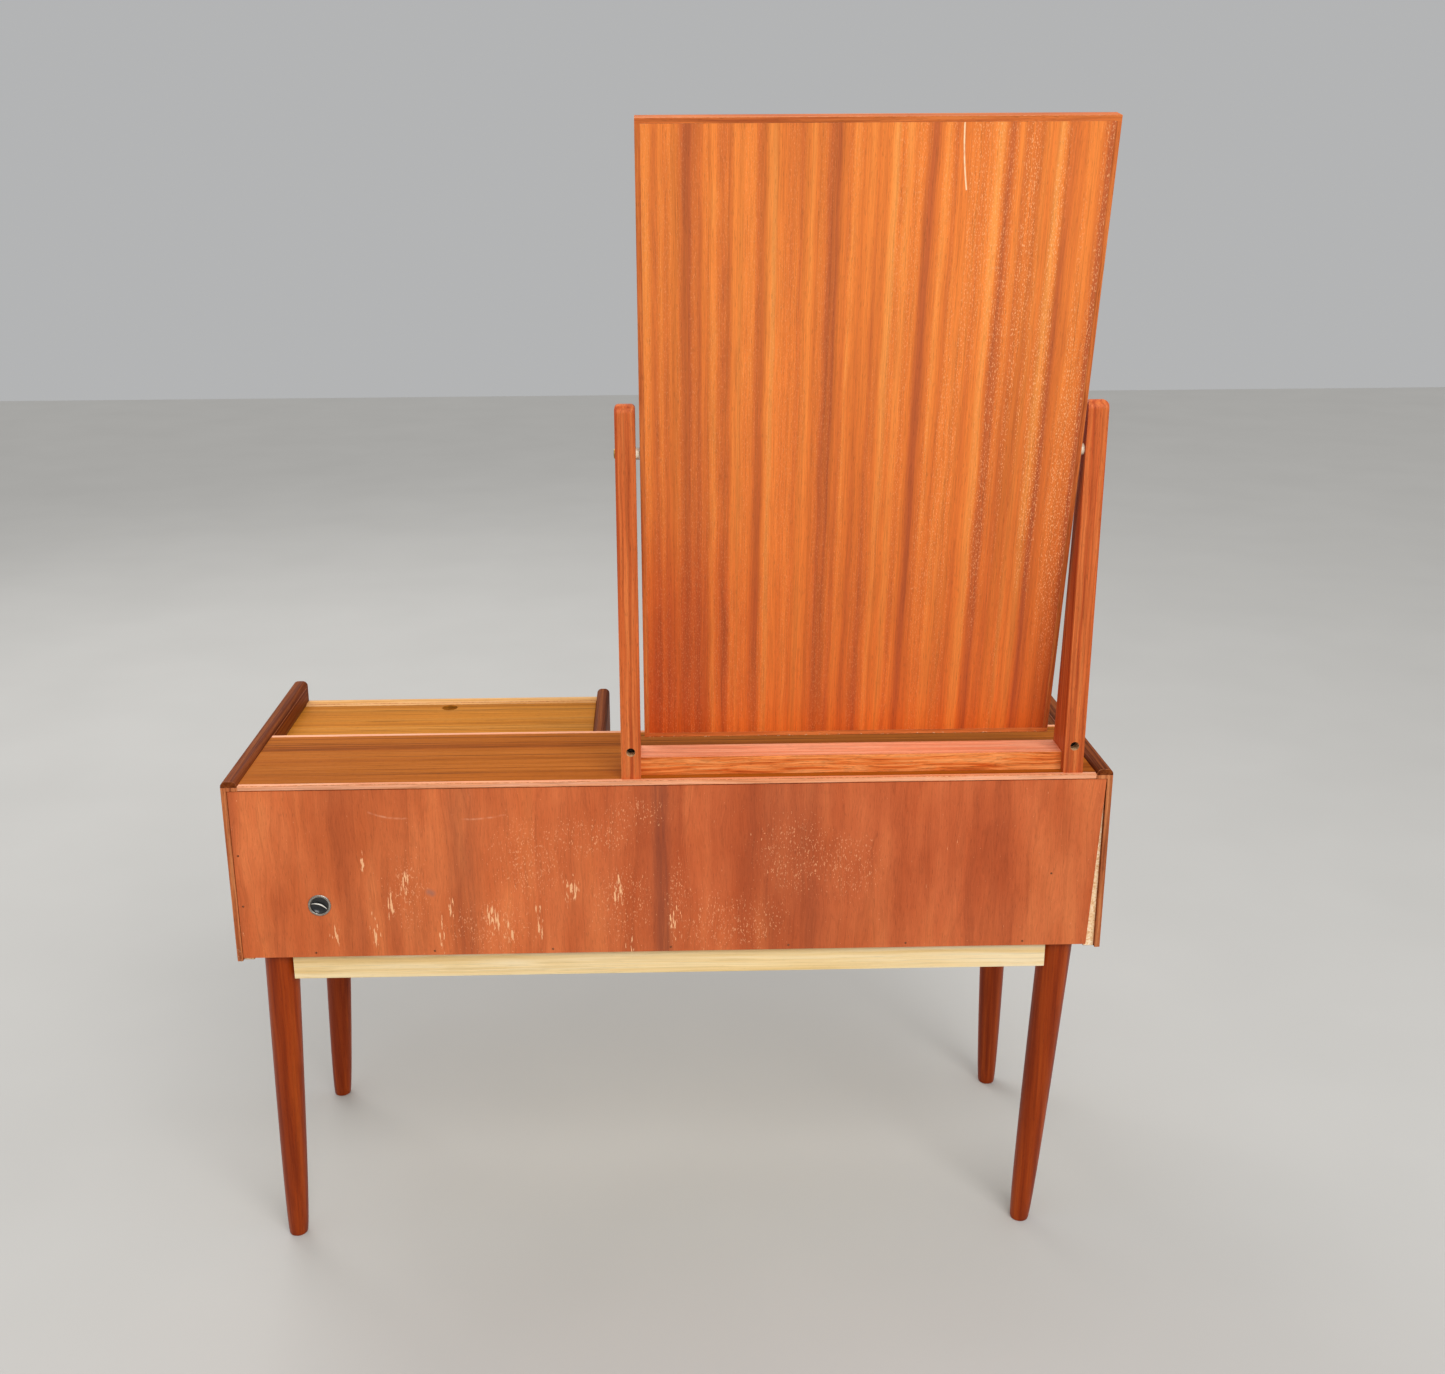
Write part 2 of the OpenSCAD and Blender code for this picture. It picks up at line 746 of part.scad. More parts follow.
// Countersunk screws up through the corner blocks into the bottom board
module frame_screws() {
    color("#b8b4a8") for (s = [-1, 1], d = screw_depths) {
        rod_z(s * screw_x, d, case_bottom_z - block_h - 1, 4, 1);
        rod_z(s * screw_x, d, case_bottom_z - block_h - 1, 1.8, block_h + 12);
    }
}

// A stud in the top of each leg with its washer and nut on the bottom board
module leg_bolts() {
    color("#b8b4a8") for (x = [-leg_x, leg_x], d = [leg_back_d, leg_front_d]) {
        rod_z(x, d, case_bottom_z - 44, 3.9, bottom_t + 52);
        rod_z(x, d, floor_z, 8, 1.5);
        translate([x, y_back - d, floor_z + 1.5]) cylinder(h = 3, r = 6.5, $fn = 6);
    }
}

left_end_panel();
right_end_panel();
left_end_lipping();
right_end_lipping();
rear_shelf();
shelf_back_lipping();
shelf_front_lipping();
divider();
divider_lipping();
table_top();
table_top_lipping();
bottom_board();
bottom_lipping();
back_panel();
back_panel_pins();
back_hole_cap();
compartment_back();
compartment_floor();
fascia();
fascia_lipping();
lid_rests();
drawer_runners();
left_post();
right_post();
post_rail();
rail_dowels();
post_bolts();
post_barrel_nuts();
pivot_screws();
pivot_spacers();
frame_rear_rail();
frame_front_rail();
frame_side_rails();
corner_blocks();
frame_screws();
leg_bolts();
back_left_leg();
back_right_leg();
front_left_leg();
front_right_leg();
hinge_fixed_leaf();
hinge_pin();
hinge_lid_leaf();
lid_panel();
lid_lipping();
mirror_board();
mirror_lippings();
mirror_glass();
pivot_inserts();
small_drawer_front();
small_drawer_sides();
small_drawer_back();
small_drawer_bottom();
small_drawer_knob();
wide_drawer_front();
wide_drawer_sides();
wide_drawer_back();
wide_drawer_bottom();
wide_drawer_knobs();
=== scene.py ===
# %% [markdown]
# # A vanity table with a tilting mirror
#
# The real piece is a low table of the 1960s: veneered panels with solid strips on their edges,
# four turned legs, and a tall mirror that turns between two posts. The CAD frame already holds
# every part at its size. What is left for Blender is what the eye reads as furniture: eased
# edges, the grain of each board, the worn film on the back, and the small metal fittings.
# We load the frame first, and read the boxes of its parts from it when needed.

# %% Frame
import json
import math

import bmesh
import bpy
from mathutils import Matrix, Vector


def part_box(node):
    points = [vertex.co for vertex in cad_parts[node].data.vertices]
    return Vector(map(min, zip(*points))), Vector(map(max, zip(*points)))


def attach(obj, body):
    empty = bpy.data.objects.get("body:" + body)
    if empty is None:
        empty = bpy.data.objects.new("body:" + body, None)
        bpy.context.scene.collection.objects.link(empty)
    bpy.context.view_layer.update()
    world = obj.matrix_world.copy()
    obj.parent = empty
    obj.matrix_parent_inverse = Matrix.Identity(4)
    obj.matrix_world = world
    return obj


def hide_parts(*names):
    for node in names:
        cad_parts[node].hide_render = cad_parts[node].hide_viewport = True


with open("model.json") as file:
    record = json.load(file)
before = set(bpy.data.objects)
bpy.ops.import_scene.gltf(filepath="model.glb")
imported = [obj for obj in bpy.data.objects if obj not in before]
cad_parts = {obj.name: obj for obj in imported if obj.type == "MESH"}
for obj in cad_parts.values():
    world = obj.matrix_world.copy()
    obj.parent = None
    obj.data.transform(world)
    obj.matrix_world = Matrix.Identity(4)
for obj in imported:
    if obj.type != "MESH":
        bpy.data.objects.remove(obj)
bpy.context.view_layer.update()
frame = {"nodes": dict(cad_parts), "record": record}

MM = 0.001
node_body = {n: body for body, names in frame["record"]["behaviour"]["bodies"].items() for n in names}

# %% [markdown]
# ## The camera
#
# The table is seen from behind, a little from above, by somebody who stands and holds the
# camera at chest height. The view is built from a place and three angles: heading, dip and
# roll. A small shift keeps the verticals leaning as they do in a hand-held view.

# %% Camera
SENSOR_MM, LENS_MM = 36, 37.8
CAMERA_AT = Vector((0.0146, 1.9253, 1.3503))
HEADING, DIP, ROLL = math.radians(178.83), math.radians(16.91), math.radians(-0.41)

SHIFT_RIGHT, SHIFT_UP = 0.0257, -0.0198


def in_scene(name, data):
    """A new object with this data, put in the scene."""
    made = bpy.data.objects.new(name, data)
    bpy.context.scene.collection.objects.link(made)
    return made


camera_data = bpy.data.cameras.new("camera")
camera_data.sensor_width, camera_data.lens = SENSOR_MM, LENS_MM
camera_data.shift_x, camera_data.shift_y = SHIFT_RIGHT, SHIFT_UP
camera = in_scene("camera", camera_data)
camera.matrix_world = (
    Matrix.Translation(CAMERA_AT)
    @ Matrix.Rotation(HEADING, 4, "Z")
    @ Matrix.Rotation(math.pi / 2 - DIP, 4, "X")
    @ Matrix.Rotation(ROLL, 4, "Z")
)
bpy.context.scene.camera = camera
print("camera height", round(CAMERA_AT.z, 2), "m, lens", LENS_MM, "mm")

# %% [markdown]
# ## Colours as they are
#
# Blender's default view bends bright colours towards white, as film does. Orange wood suffers
# most from that: it turns to a pale peach. The Standard view shows each colour as it was
# chosen, so the hex values below can be compared directly with a stained sample.

# %% View
bpy.context.scene.view_settings.view_transform = "Standard"
print("view:", bpy.context.scene.view_settings.view_transform)

# %% [markdown]
# ## Two helpers
#
# Colours are written as the hex values that a paint chart shows. Shaders want linear light, so
# one function turns one into the other. The second one adds a node of any kind, sets it up and
# makes its links, which keeps each material and each geometry tree readable.


# %% Colour and node helpers
def linear(colour):
    """An sRGB hex colour as linear red, green, blue and an alpha of 1."""
    parts = [int(colour[i : i + 2], 16) / 255 for i in (1, 3, 5)]
    return [c / 12.92 if c <= 0.04045 else ((c + 0.055) / 1.055) ** 2.4 for c in parts] + [1]


def add(tree, kind, inputs=None, stops=None, **settings):
    """Adds a node, sets it up, links it and returns it.

    inputs maps a socket's name or number to a plain value, a hex colour, an output, or a node
    whose first working output is meant. stops fills a colour ramp with (place, hex) pairs.
    """
    node = tree.nodes.new(kind)
    for key, value in settings.items():
        setattr(node, key, value)
    if stops:
        points = node.color_ramp.elements
        while len(points) < len(stops):
            points.new(0.5)
        for point, (place, colour) in zip(points, stops):
            point.position, point.color = place, linear(colour)
    for key, value in (inputs or {}).items():
        named = [s for s in node.inputs if s.name == key and s.enabled]
        socket = node.inputs[key] if isinstance(key, int) else named[0]
        if isinstance(value, bpy.types.Node):
            value = next(o for o in value.outputs if o.enabled)
        if isinstance(value, bpy.types.NodeSocket):
            tree.links.new(value, socket)
        elif isinstance(value, str) and value.startswith("#"):
            socket.default_value = linear(value)
        else:
            socket.default_value = value
    return node


def new_material(name):
    """An empty material and its node tree."""
    material = bpy.data.materials.new(name)
    material.use_nodes = True
    material.node_tree.nodes.clear()
    return material, material.node_tree


def surface(tree, inputs):
    """Ends a material: the shader with these inputs, and the output.

    What varies comes in as a node. What is the same all over is a plain value on the socket.
    """
    shader = add(tree, "ShaderNodeBsdfPrincipled", inputs)
    add(tree, "ShaderNodeOutputMaterial", {"Surface": shader})


print("mid grey #808080 is", round(linear("#808080")[0], 3), "in linear light")

# %% [markdown]
# ## Places on a board
#
# Every pattern of wood is stretched along the grain. So the first step of each wood is a set of
# coordinates in which z runs along the grain, whatever way the board lies. A second step
# squeezes them, so that one unit is as wide and as long as the feature we want, in millimetres.

# %% Grain and streaks
QUARTER = math.pi / 2
TURN_TO_GRAIN = {"x": (0, QUARTER, 0), "y": (QUARTER, 0, 0), "z": (0, 0, 0)}


def along_grain(tree, grain, centre=(0, 0, 0), turn=(0, 0, 0)):
    """Object coordinates about centre, turned so that z runs along the grain."""
    place = add(tree, "ShaderNodeTexCoord").outputs["Object"]
    settled = add(
        tree, "ShaderNodeMapping", {"Vector": place, "Location": centre, "Rotation": turn},
        vector_type="TEXTURE",
    )
    return add(tree, "ShaderNodeMapping", {"Vector": settled, "Rotation": TURN_TO_GRAIN[grain]})


def squeezed(tree, place, wide_mm, long_mm, seed):
    """Coordinates in which one unit is wide_mm across the grain and long_mm along it."""
    scale = (1 / (wide_mm * MM), 1 / (wide_mm * MM), 1 / (long_mm * MM))
    return add(
        tree, "ShaderNodeMapping", {"Vector": place, "Scale": scale, "Location": (seed, seed, seed)}
    )


def streaks(tree, place, wide_mm, long_mm, low, high, low_value, high_value, detail=2.0, seed=0.0):
    """Streaks along the grain: low_value where a stretched noise is low, high_value where high."""
    pattern = add(
        tree, "ShaderNodeTexNoise",
        {
            "Vector": squeezed(tree, place, wide_mm, long_mm, seed), "Scale": 1.0, "Detail": detail,
            "Roughness": 0.55,
        },
    )
    return add(
        tree, "ShaderNodeMapRange",
        {"Value": pattern, "From Min": low, "From Max": high, "To Min": low_value, "To Max": high_value},
    )


print("grain can run along", ", ".join(TURN_TO_GRAIN))

# %% [markdown]
# ## Strokes and layers
#
# Marks need two more helpers. One measures how near a point is to a stroke drawn on the board,
# straight or bent like a bow. The other lays colours over each other, each only where its share
# of the surface says, so that every kind of wear can be written as a short list.

# %% Strokes and layers
def stroke(tree, place, start, end, half_mm, soft_mm, bow=0.0):
    """1 within half_mm of a stroke from start to end (x and z in mm), fading over soft_mm.

    bow bends the stroke sideways by that share of its length.
    """
    run = Vector((end[0] - start[0], 0, end[1] - start[1])) * MM
    side = Vector((-run.z, 0, run.x)) * 4 * bow
    flat = add(tree, "ShaderNodeVectorMath", {0: place, 1: (1, 0, 1)}, operation="MULTIPLY")
    gone = add(
        tree, "ShaderNodeVectorMath", {0: flat, 1: (start[0] * MM, 0, start[1] * MM)},
        operation="SUBTRACT",
    )
    along = add(tree, "ShaderNodeVectorMath", {0: gone, 1: tuple(run)}, operation="DOT_PRODUCT")
    share = add(
        tree, "ShaderNodeMath", {0: along, 1: run.length_squared}, operation="DIVIDE", use_clamp=True
    )
    rest = add(tree, "ShaderNodeMath", {0: 1.0, 1: share}, operation="SUBTRACT")
    arch = add(tree, "ShaderNodeMath", {0: share, 1: rest}, operation="MULTIPLY")
    on_line = add(tree, "ShaderNodeVectorMath", {0: tuple(run), "Scale": share}, operation="SCALE")
    beside = add(tree, "ShaderNodeVectorMath", {0: tuple(side), "Scale": arch}, operation="SCALE")
    nearest = add(tree, "ShaderNodeVectorMath", {0: on_line, 1: beside}, operation="ADD")
    away = add(tree, "ShaderNodeVectorMath", {0: gone, 1: nearest}, operation="DISTANCE")
    return add(
        tree, "ShaderNodeMapRange",
        {
            "Value": away.outputs["Value"], "From Min": half_mm * MM,
            "From Max": (half_mm + soft_mm) * MM, "To Min": 1.0, "To Max": 0.0,
        },
    )


# Settings of the Mix node: another colour laid over the first, or multiplied into it
OVER = {"data_type": "RGBA", "blend_type": "MIX", "clamp_factor": True}
DARKEN = {"data_type": "RGBA", "blend_type": "MULTIPLY", "clamp_factor": True}


def layered(tree, colour, layers):
    """The colour with each layer laid on it: (way, layer colour, shares that multiply)."""
    for way, layer, share, *more in layers:
        for factor in more:
            share = add(tree, "ShaderNodeMath", {0: share, 1: factor}, operation="MULTIPLY")
        colour = add(tree, "ShaderNodeMix", {"Factor": share, "A": colour, "B": layer}, **way)
    return colour


print("layers are laid", OVER["blend_type"], "or", DARKEN["blend_type"])

# %% [markdown]
# ## A recipe for wood
#
# Teak and its cousins are long fibres laid side by side. Sliced into veneer they show a slow
# figure of light and dark bands, thin dark lines where a year's growth ends, fine fibres, and
# open pores that look like short dark dashes. One recipe does for every board: bands that
# wander a little give the colour, and each finer layer only darkens it. What changes from board
# to board is the colours, the direction of the grain, the widths, and the gloss on top. Oil
# leaves wood nearly matt, so the reflection is kept weak and broad.


# %% The wood recipe
# Real pores are 0.2 mm wide. Pores and fibres are drawn several times as wide, so that they show
PORE_MM, FIBRE_MM = (0.8, 10), (1.2, 70)
SLOW_MM = (130, 420)


def wood(
    name,
    figure,
    grain="x",
    centre=(0, 0, 0),
    turn=(0, 0, 0),
    bands_mm=16,
    length_mm=600,
    wander_mm=5,
    lines=0.2,
    line_mm=9,
    fibre=0.22,
    pores=0.3,
    tone=0.15,
    gloss=0.5,
    shine=0.18,
    coat=0.0,
    place_on=None,
    wear=None,
):
    """A veneered or solid wood. figure holds hex colours from dark to light.

    lines, fibre, pores and tone say how dark each layer goes. place_on returns other
    coordinates for the grain, and wear returns the colour with its marks added, which on the
    mirror include painted shade.
    """
    material, tree = new_material(name)
    place = place_on(tree) if place_on else along_grain(tree, grain, centre, turn)
    drifting = add(
        tree, "ShaderNodeTexNoise",
        {"Vector": add(tree, "ShaderNodeMapping", {"Vector": place, "Scale": (9, 9, 2.2)}), "Detail": 1.0},
    )
    wandering = add(
        tree, "ShaderNodeVectorMath",
        {0: drifting.outputs["Color"], 1: (wander_mm * MM, wander_mm * MM, 0), 2: place},
        operation="MULTIPLY_ADD",
    )
    bands = streaks(tree, wandering, bands_mm, length_mm, 0.3, 0.7, 0.0, 1.0, detail=2.5)
    steps = [(0.12 + 0.76 * i / (len(figure) - 1), colour) for i, colour in enumerate(figure)]
    colour = add(tree, "ShaderNodeValToRGB", {"Fac": bands}, stops=steps)

    year = streaks(tree, wandering, line_mm, 2.5 * length_mm, 0.0, 1.0, -0.5, 0.5, detail=3, seed=4.0)
    edge_of_year = add(tree, "ShaderNodeMath", {0: year}, operation="ABSOLUTE")
    year_line = add(
        tree, "ShaderNodeMapRange",
        {"Value": edge_of_year, "From Min": 0.0, "From Max": 0.035, "To Min": 1 - lines, "To Max": 1.0},
    )
    threads = streaks(tree, wandering, *FIBRE_MM, 0.3, 0.62, 1 - fibre, 1.0, detail=3, seed=8.0)
    pits = streaks(tree, place, *PORE_MM, 0.58, 0.68, 1.0, 1 - pores, seed=12.0)
    slow = streaks(tree, place, *SLOW_MM, 0.35, 0.65, 1 - tone, 1.0, detail=1, seed=16.0)
    colour = layered(tree, colour, [(DARKEN, layer, 1.0) for layer in (year_line, threads, pits, slow)])
    if wear:
        colour = wear(tree, colour, place)

    relief = add(tree, "ShaderNodeMath", {0: threads, 1: 0.4, 2: pits}, operation="MULTIPLY_ADD")
    bump = add(
        tree, "ShaderNodeBump", {"Height": relief, "Strength": 0.1 + 0.25 * pores, "Distance": 0.12 * MM}
    )
    rough = add(
        tree, "ShaderNodeMapRange",
        {"Value": threads, "From Min": 1 - fibre, "To Min": gloss + 0.12, "To Max": gloss - 0.04},
    )
    surface(
        tree,
        {
            "Base Color": colour, "Roughness": rough, "Normal": bump, "Specular IOR Level": shine,
            "Coat Weight": coat, "Coat Roughness": 0.25,
        },
    )
    return material


print("pores are drawn", PORE_MM[0], "mm wide and", PORE_MM[1], "mm long")

# %% [markdown]
# ## Landmarks from the frame
#
# Marks of wear lie at places on the boards, so we take a few landmarks from the CAD frame: the
# level of the shelf, the plane of the back, and the axis that the mirror turns on. The mirror
# leans back, and its grain leans with it.

# %% Landmarks
LEAN = math.radians(10.4)
MIRROR_LEAN = (-LEAN, 0, 0)
MIRROR_MM, STRIP_MM, LIPPING_MM = 22, 6, 8

mirror_axis = (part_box("pivot_spacers")[0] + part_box("pivot_spacers")[1]) / 2
back_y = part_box("left_end_panel")[1].y
shelf_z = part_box("rear_shelf")[1].z

low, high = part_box("mirror_lippings")
tipped = MIRROR_MM / 2 * math.sin(LEAN)
mirror_up = ((high.z - mirror_axis.z) / MM - tipped) / math.cos(LEAN)
mirror_down = ((low.z - mirror_axis.z) / MM + tipped) / math.cos(LEAN)
print("mirror from", round(mirror_down, 1), "to", round(mirror_up, 1), "mm about its axis")

# %% [markdown]
# ## Sun, knocks and flakes
#
# The back stood against walls and in damp rooms. Water left dark stripes down the veneer, the
# film flaked off in short dashes where the grain is open, and one hard edge drew a pale arc.
# Each mark is a stroke or a field of dashes at a place on the board, mixed over the wood.
# Scattering the dashes over the whole board would be simpler, but they gather in patches, so
# each patch raises the dashes out of a noise that is otherwise too low to show.

# %% Wear on the back panel
# Upright water marks: where in x, half width, soft edge, depth
WATER_MARKS = [(9, 6, 8, 0.6), (14, 14, 30, 0.15), (256, 8, 18, 0.3), (-150, 26, 40, 0.2)]
# Scraped arcs: one end, the other end, bow
ARCS = [((372, 627), (326, 618), 0.06), ((257, 616), (205, 621), 0.04)]
# A redder stretch and a grey spot: one end, the other end, half width, soft edge
REDDER = ((-330, 560), (-60, 560), 60, 260)
GREY_SPOT = ((299, 516), (303, 518), 1.0, 5.0)
# Patches of flakes and of specks: middle in x and z, half width, half height, all in mm
FLAKE_PATCHES = [
    (374, 466, 7, 26), (424, 461, 7, 18), (352, 500, 7, 24), (332, 525, 6, 30), (383, 560, 3, 22),
    (226, 475, 11, 26), (205, 462, 7, 24), (166, 475, 6, 34), (124, 520, 11, 26), (66, 515, 8, 30),
    (276, 500, 5, 26), (290, 460, 4, 30), (-6, 470, 9, 30), (52, 450, 6, 26),
]
SPECK_PATCHES = [
    (-225, 545, 45, 50), (100, 590, 70, 30), (-100, 470, 60, 40), (330, 520, 30, 60),
    (60, 500, 40, 60), (230, 470, 60, 40), (-60, 470, 50, 50), (-10, 500, 20, 60), (-160, 560, 60, 60),
    (180, 560, 50, 60), (40, 620, 40, 25),
]


def patch(tree, place, patches, strength):
    """A soft field that is strength at the middle of each (x, z, half width, half height)."""
    total = None
    for x, z, half_x, half_z in patches:
        near = add(
            tree, "ShaderNodeMapping",
            {
                "Vector": place, "Location": (x * MM, 0, z * MM),
                "Scale": (half_x * MM, 1e6, half_z * MM),
            },
            vector_type="TEXTURE",
        )
        away = add(tree, "ShaderNodeVectorMath", {0: near}, operation="LENGTH")
        soft = add(
            tree, "ShaderNodeMapRange",
            {
                "Value": away.outputs["Value"], "From Min": 0.4, "From Max": 1.5,
                "To Min": strength, "To Max": 0.0,
            },
            interpolation_type="SMOOTHSTEP",
        )
        total = add(tree, "ShaderNodeMath", {0: soft, 1: total}, operation="MAXIMUM") if total else soft
    return total


def flecks(tree, place, wide_mm, long_mm, patches, lift, threshold, seed):
    """Dashes that stand out only inside the patches, plus a few strays elsewhere."""
    space = squeezed(tree, place, wide_mm, long_mm, seed)
    grit = add(tree, "ShaderNodeTexNoise", {"Vector": space, "Scale": 1.0, "Detail": 3.0})
    lifted = add(tree, "ShaderNodeMath", {0: grit, 1: patch(tree, place, patches, lift)}, operation="ADD")
    return add(
        tree, "ShaderNodeMapRange", {"Value": lifted, "From Min": threshold, "From Max": threshold + 0.05}
    )


def panel_wear(tree, colour, place):
    """Blotches, water marks, flakes, specks, scraped arcs and one grey spot."""
    blotch = streaks(tree, place, 55, 110, 0.35, 0.65, 0.0, 1.0, detail=3, seed=20.0)
    layers = [(DARKEN, "#f2e6dc", blotch), (DARKEN, "#eddfe2", stroke(tree, place, *REDDER))]
    for x, half, soft, depth in WATER_MARKS:
        mark = stroke(tree, place, (x, 400), (x + 3, 680), half, soft)
        uneven = streaks(tree, place, 3, 60, 0.3, 0.6, 0.5 * depth, depth, seed=x)
        layers.append((OVER, "#7a3c2a", mark, uneven))
    specks = flecks(tree, place, 1.4, 3.5, SPECK_PATCHES, 0.13, 0.73, 5.0)
    flakes = flecks(tree, place, 1.9, 13, FLAKE_PATCHES, 0.22, 0.75, 3.0)
    layers += [(OVER, "#f0a878", specks, 0.6), (OVER, "#f2b584", flakes)]
    for start, end, bow in ARCS:
        arc = stroke(tree, place, start, end, 0.3, 1.5, bow)
        faint = streaks(tree, place, 7, 7, 0.4, 0.65, 0.08, 0.5, seed=30.0)
        layers.append((OVER, "#e8a27c", arc, faint))
    layers.append((OVER, "#8a6a62", stroke(tree, place, *GREY_SPOT), 0.5))
    return layered(tree, colour, layers)


print(len(FLAKE_PATCHES), "patches of flakes and", len(SPECK_PATCHES), "of specks")

# %% [markdown]
# ## Marks and painted shade on the mirror's back
#
# The back of the mirror is ribbon-figured veneer under a clear film. Its colour is made darker
# and redder towards the bottom, as painted shade under light from above, and it is darker again
# in the lower corner. Fine pores filled with pale polish sparkle in the dark ribbons, a nail has
# drawn one white line down from the top edge, and the lower edge is chipped.


# %% Wear and painted shade on the mirror's back
# Painted shade: the veneer is fully darkened below the first height and fully lit above the second, in
# metres
SHADED_BELOW, LIT_ABOVE = -0.375, 0.2
# Strokes in the mirror's own mm: one end, the other end, half width, soft edge, bow
DARK_CORNER = ((250, -375), (215, -190), 5, 120)
SUNNY_SIDE = ((-225, -120), (-190, 320), 10, 190)
SCRATCH = ((-91, 366), (-98, 298), 0.3, 0.8, 0.02)


def mirror_wear_and_painted_shade(tree, colour, place):
    """Painted shade darkening towards the bottom, pale pores and a white scratch, in the mirror's own
    coordinates.
    """
    parts = add(tree, "ShaderNodeSeparateXYZ", {"Vector": place})
    # Painted shade: 1 at the bottom of the mirror, 0 from the second height up
    painted_shade_share = add(
        tree, "ShaderNodeMapRange",
        {
            "Value": parts.outputs["Z"], "From Min": SHADED_BELOW, "From Max": LIT_ABOVE,
            "To Min": 1.0, "To Max": 0.0,
        },
    )
    sunny = stroke(tree, place, *SUNNY_SIDE)
    sunny_share = add(tree, "ShaderNodeMath", {0: sunny, 1: 0.8, 2: 0.25}, operation="MULTIPLY_ADD")
    sparkle = streaks(tree, place, 1.2, 3.0, 0.56, 0.66, 0.0, 0.7, detail=2, seed=25.0)
    grooves = streaks(tree, place, 14, 500, 0.56, 0.44, 0.0, 1.0, seed=28.0)
    thin = streaks(tree, place, 4, 9, 0.3, 0.5, 0.35, 1.0, seed=33.0)
    return layered(tree, colour, [
        # Painted shade: darker and redder towards the bottom
        (DARKEN, "#eccdb0", painted_shade_share),
        (DARKEN, "#f4e0d6", stroke(tree, place, *DARK_CORNER)),
        (OVER, "#ffba80", sparkle, grooves, sunny_share),
        (OVER, "#f7d9ae", stroke(tree, place, *SCRATCH), thin),
    ])


print("the scratch is", SCRATCH[0][1] - SCRATCH[1][1], "mm long")

# %% [markdown]
# ## Scuffs on the shelf
#
# Things were set down and picked up near one corner of the shelf, and left a few pale scuffs in
# the oil. They are short streaks again, kept inside one small ellipse.


# %% Scuffs
SCUFFED_X, SCUFFED_Y = 0.455, back_y - 0.165
SCUFFED_SIZE = (0.045, 0.012, 9)


def shelf_wear(tree, colour, place):
    """A few pale scuffs near one front corner of the shelf, where things were set down."""
    scuffs = streaks(tree, place, 5, 12, 0.6, 0.68, 0.0, 0.7, detail=3, seed=41.0)
    near = add(
        tree, "ShaderNodeMapping",
        {"Vector": place, "Location": (SCUFFED_X, SCUFFED_Y, 0), "Scale": SCUFFED_SIZE},
        vector_type="TEXTURE",
    )
    away = add(tree, "ShaderNodeVectorMath", {0: near}, operation="LENGTH")
    inside = add(
        tree, "ShaderNodeMapRange",
        {"Value": away.outputs["Value"], "From Min": 0.6, "From Max": 1.2, "To Min": 1.0, "To Max": 0.0},
    )
    return layered(tree, colour, [(OVER, "#e8bc8c", scuffs, inside)])


print("the scuffs spread over", round(2 * SCUFFED_SIZE[0] / MM), "mm")

# %% [markdown]
# ## Grain that turns a corner
#
# Strips go round the mirror, and down the front of the ends, each cut from a stick with the
# grain along it. In the frame such a strip is one part, so its wood reads two sets of
# coordinates, one for each direction, and takes the one that belongs to its place.


# %% Strips that turn
def strip_place(tree):
    """Coordinates for the strips round the mirror: the top and bottom ones lie across."""
    place = along_grain(tree, "z", tuple(mirror_axis), MIRROR_LEAN)
    parts = add(tree, "ShaderNodeSeparateXYZ", {"Vector": place})
    middle = (mirror_up + mirror_down) / 2 * MM
    reach = (mirror_up - mirror_down) / 2 * MM - STRIP_MM * MM
    centred = add(tree, "ShaderNodeMath", {0: parts.outputs["Z"], 1: middle}, operation="SUBTRACT")
    far = add(tree, "ShaderNodeMath", {0: centred}, operation="ABSOLUTE")
    crosswise = add(tree, "ShaderNodeMath", {0: far, 1: reach}, operation="GREATER_THAN")
    turned = add(tree, "ShaderNodeMapping", {"Vector": place, "Rotation": TURN_TO_GRAIN["x"]})
    return add(
        tree, "ShaderNodeMix", {"Factor": crosswise, "A": place, "B": turned}, data_type="VECTOR"
    )


def mitre_place(node):
    """Coordinates for a strip that lies along a top edge and comes down the front below it."""

    def place_on(tree):
        upright = along_grain(tree, "z")
        parts = add(tree, "ShaderNodeSeparateXYZ", {"Vector": upright})
        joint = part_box(node)[1].z - LIPPING_MM * MM
        lying = add(tree, "ShaderNodeMath", {0: parts.outputs["Z"], 1: joint}, operation="GREATER_THAN")
        return add(
            tree, "ShaderNodeMix", {"Factor": lying, "A": upright, "B": along_grain(tree, "y")},
            data_type="VECTOR",
        )

    return place_on


print("strips are", STRIP_MM, "mm thick round the mirror and", LIPPING_MM, "mm on the case")

# %% [markdown]
# ## The woods of this table
#
# The recipe is now called once for each wood, with the colours that a sample of it shows. We
# start with the tops. The shelf and the lid are golden teak with the grain along the table, and
# the solid strips on their front edges have bleached.

# %% Tops and their strips
# Sliced teak, oiled: golden brown and nearly matt, with thin dark lines along the board
teak_shelf = wood(
    "teak_veneer_oiled", ["#9e5010", "#a85916", "#ae5f19", "#b76721"], "x", bands_mm=26,
    length_mm=1600, wander_mm=2, lines=0.5, line_mm=10, tone=0.1, gloss=0.55, shine=0.03,
    wear=shelf_wear,
)
# The lid comes from a yellower leaf, so it reads as a board of its own
teak_lid = wood(
    "teak_lid_veneer_oiled", ["#b2691c", "#c07624", "#c87f2c", "#d08838"], "x", (0.3, 0.2, 0),
    bands_mm=24, length_mm=1600, wander_mm=2, lines=0.45, line_mm=10, tone=0.1, gloss=0.55,
    shine=0.03,
)
# Solid strips bleached to salmon: a light line that frames each top
teak_strip = wood(
    "teak_strip_oiled", ["#e08656", "#f6a678", "#ffb894"], "x", bands_mm=5, length_mm=300,
    tone=0.1, pores=0.2,
)
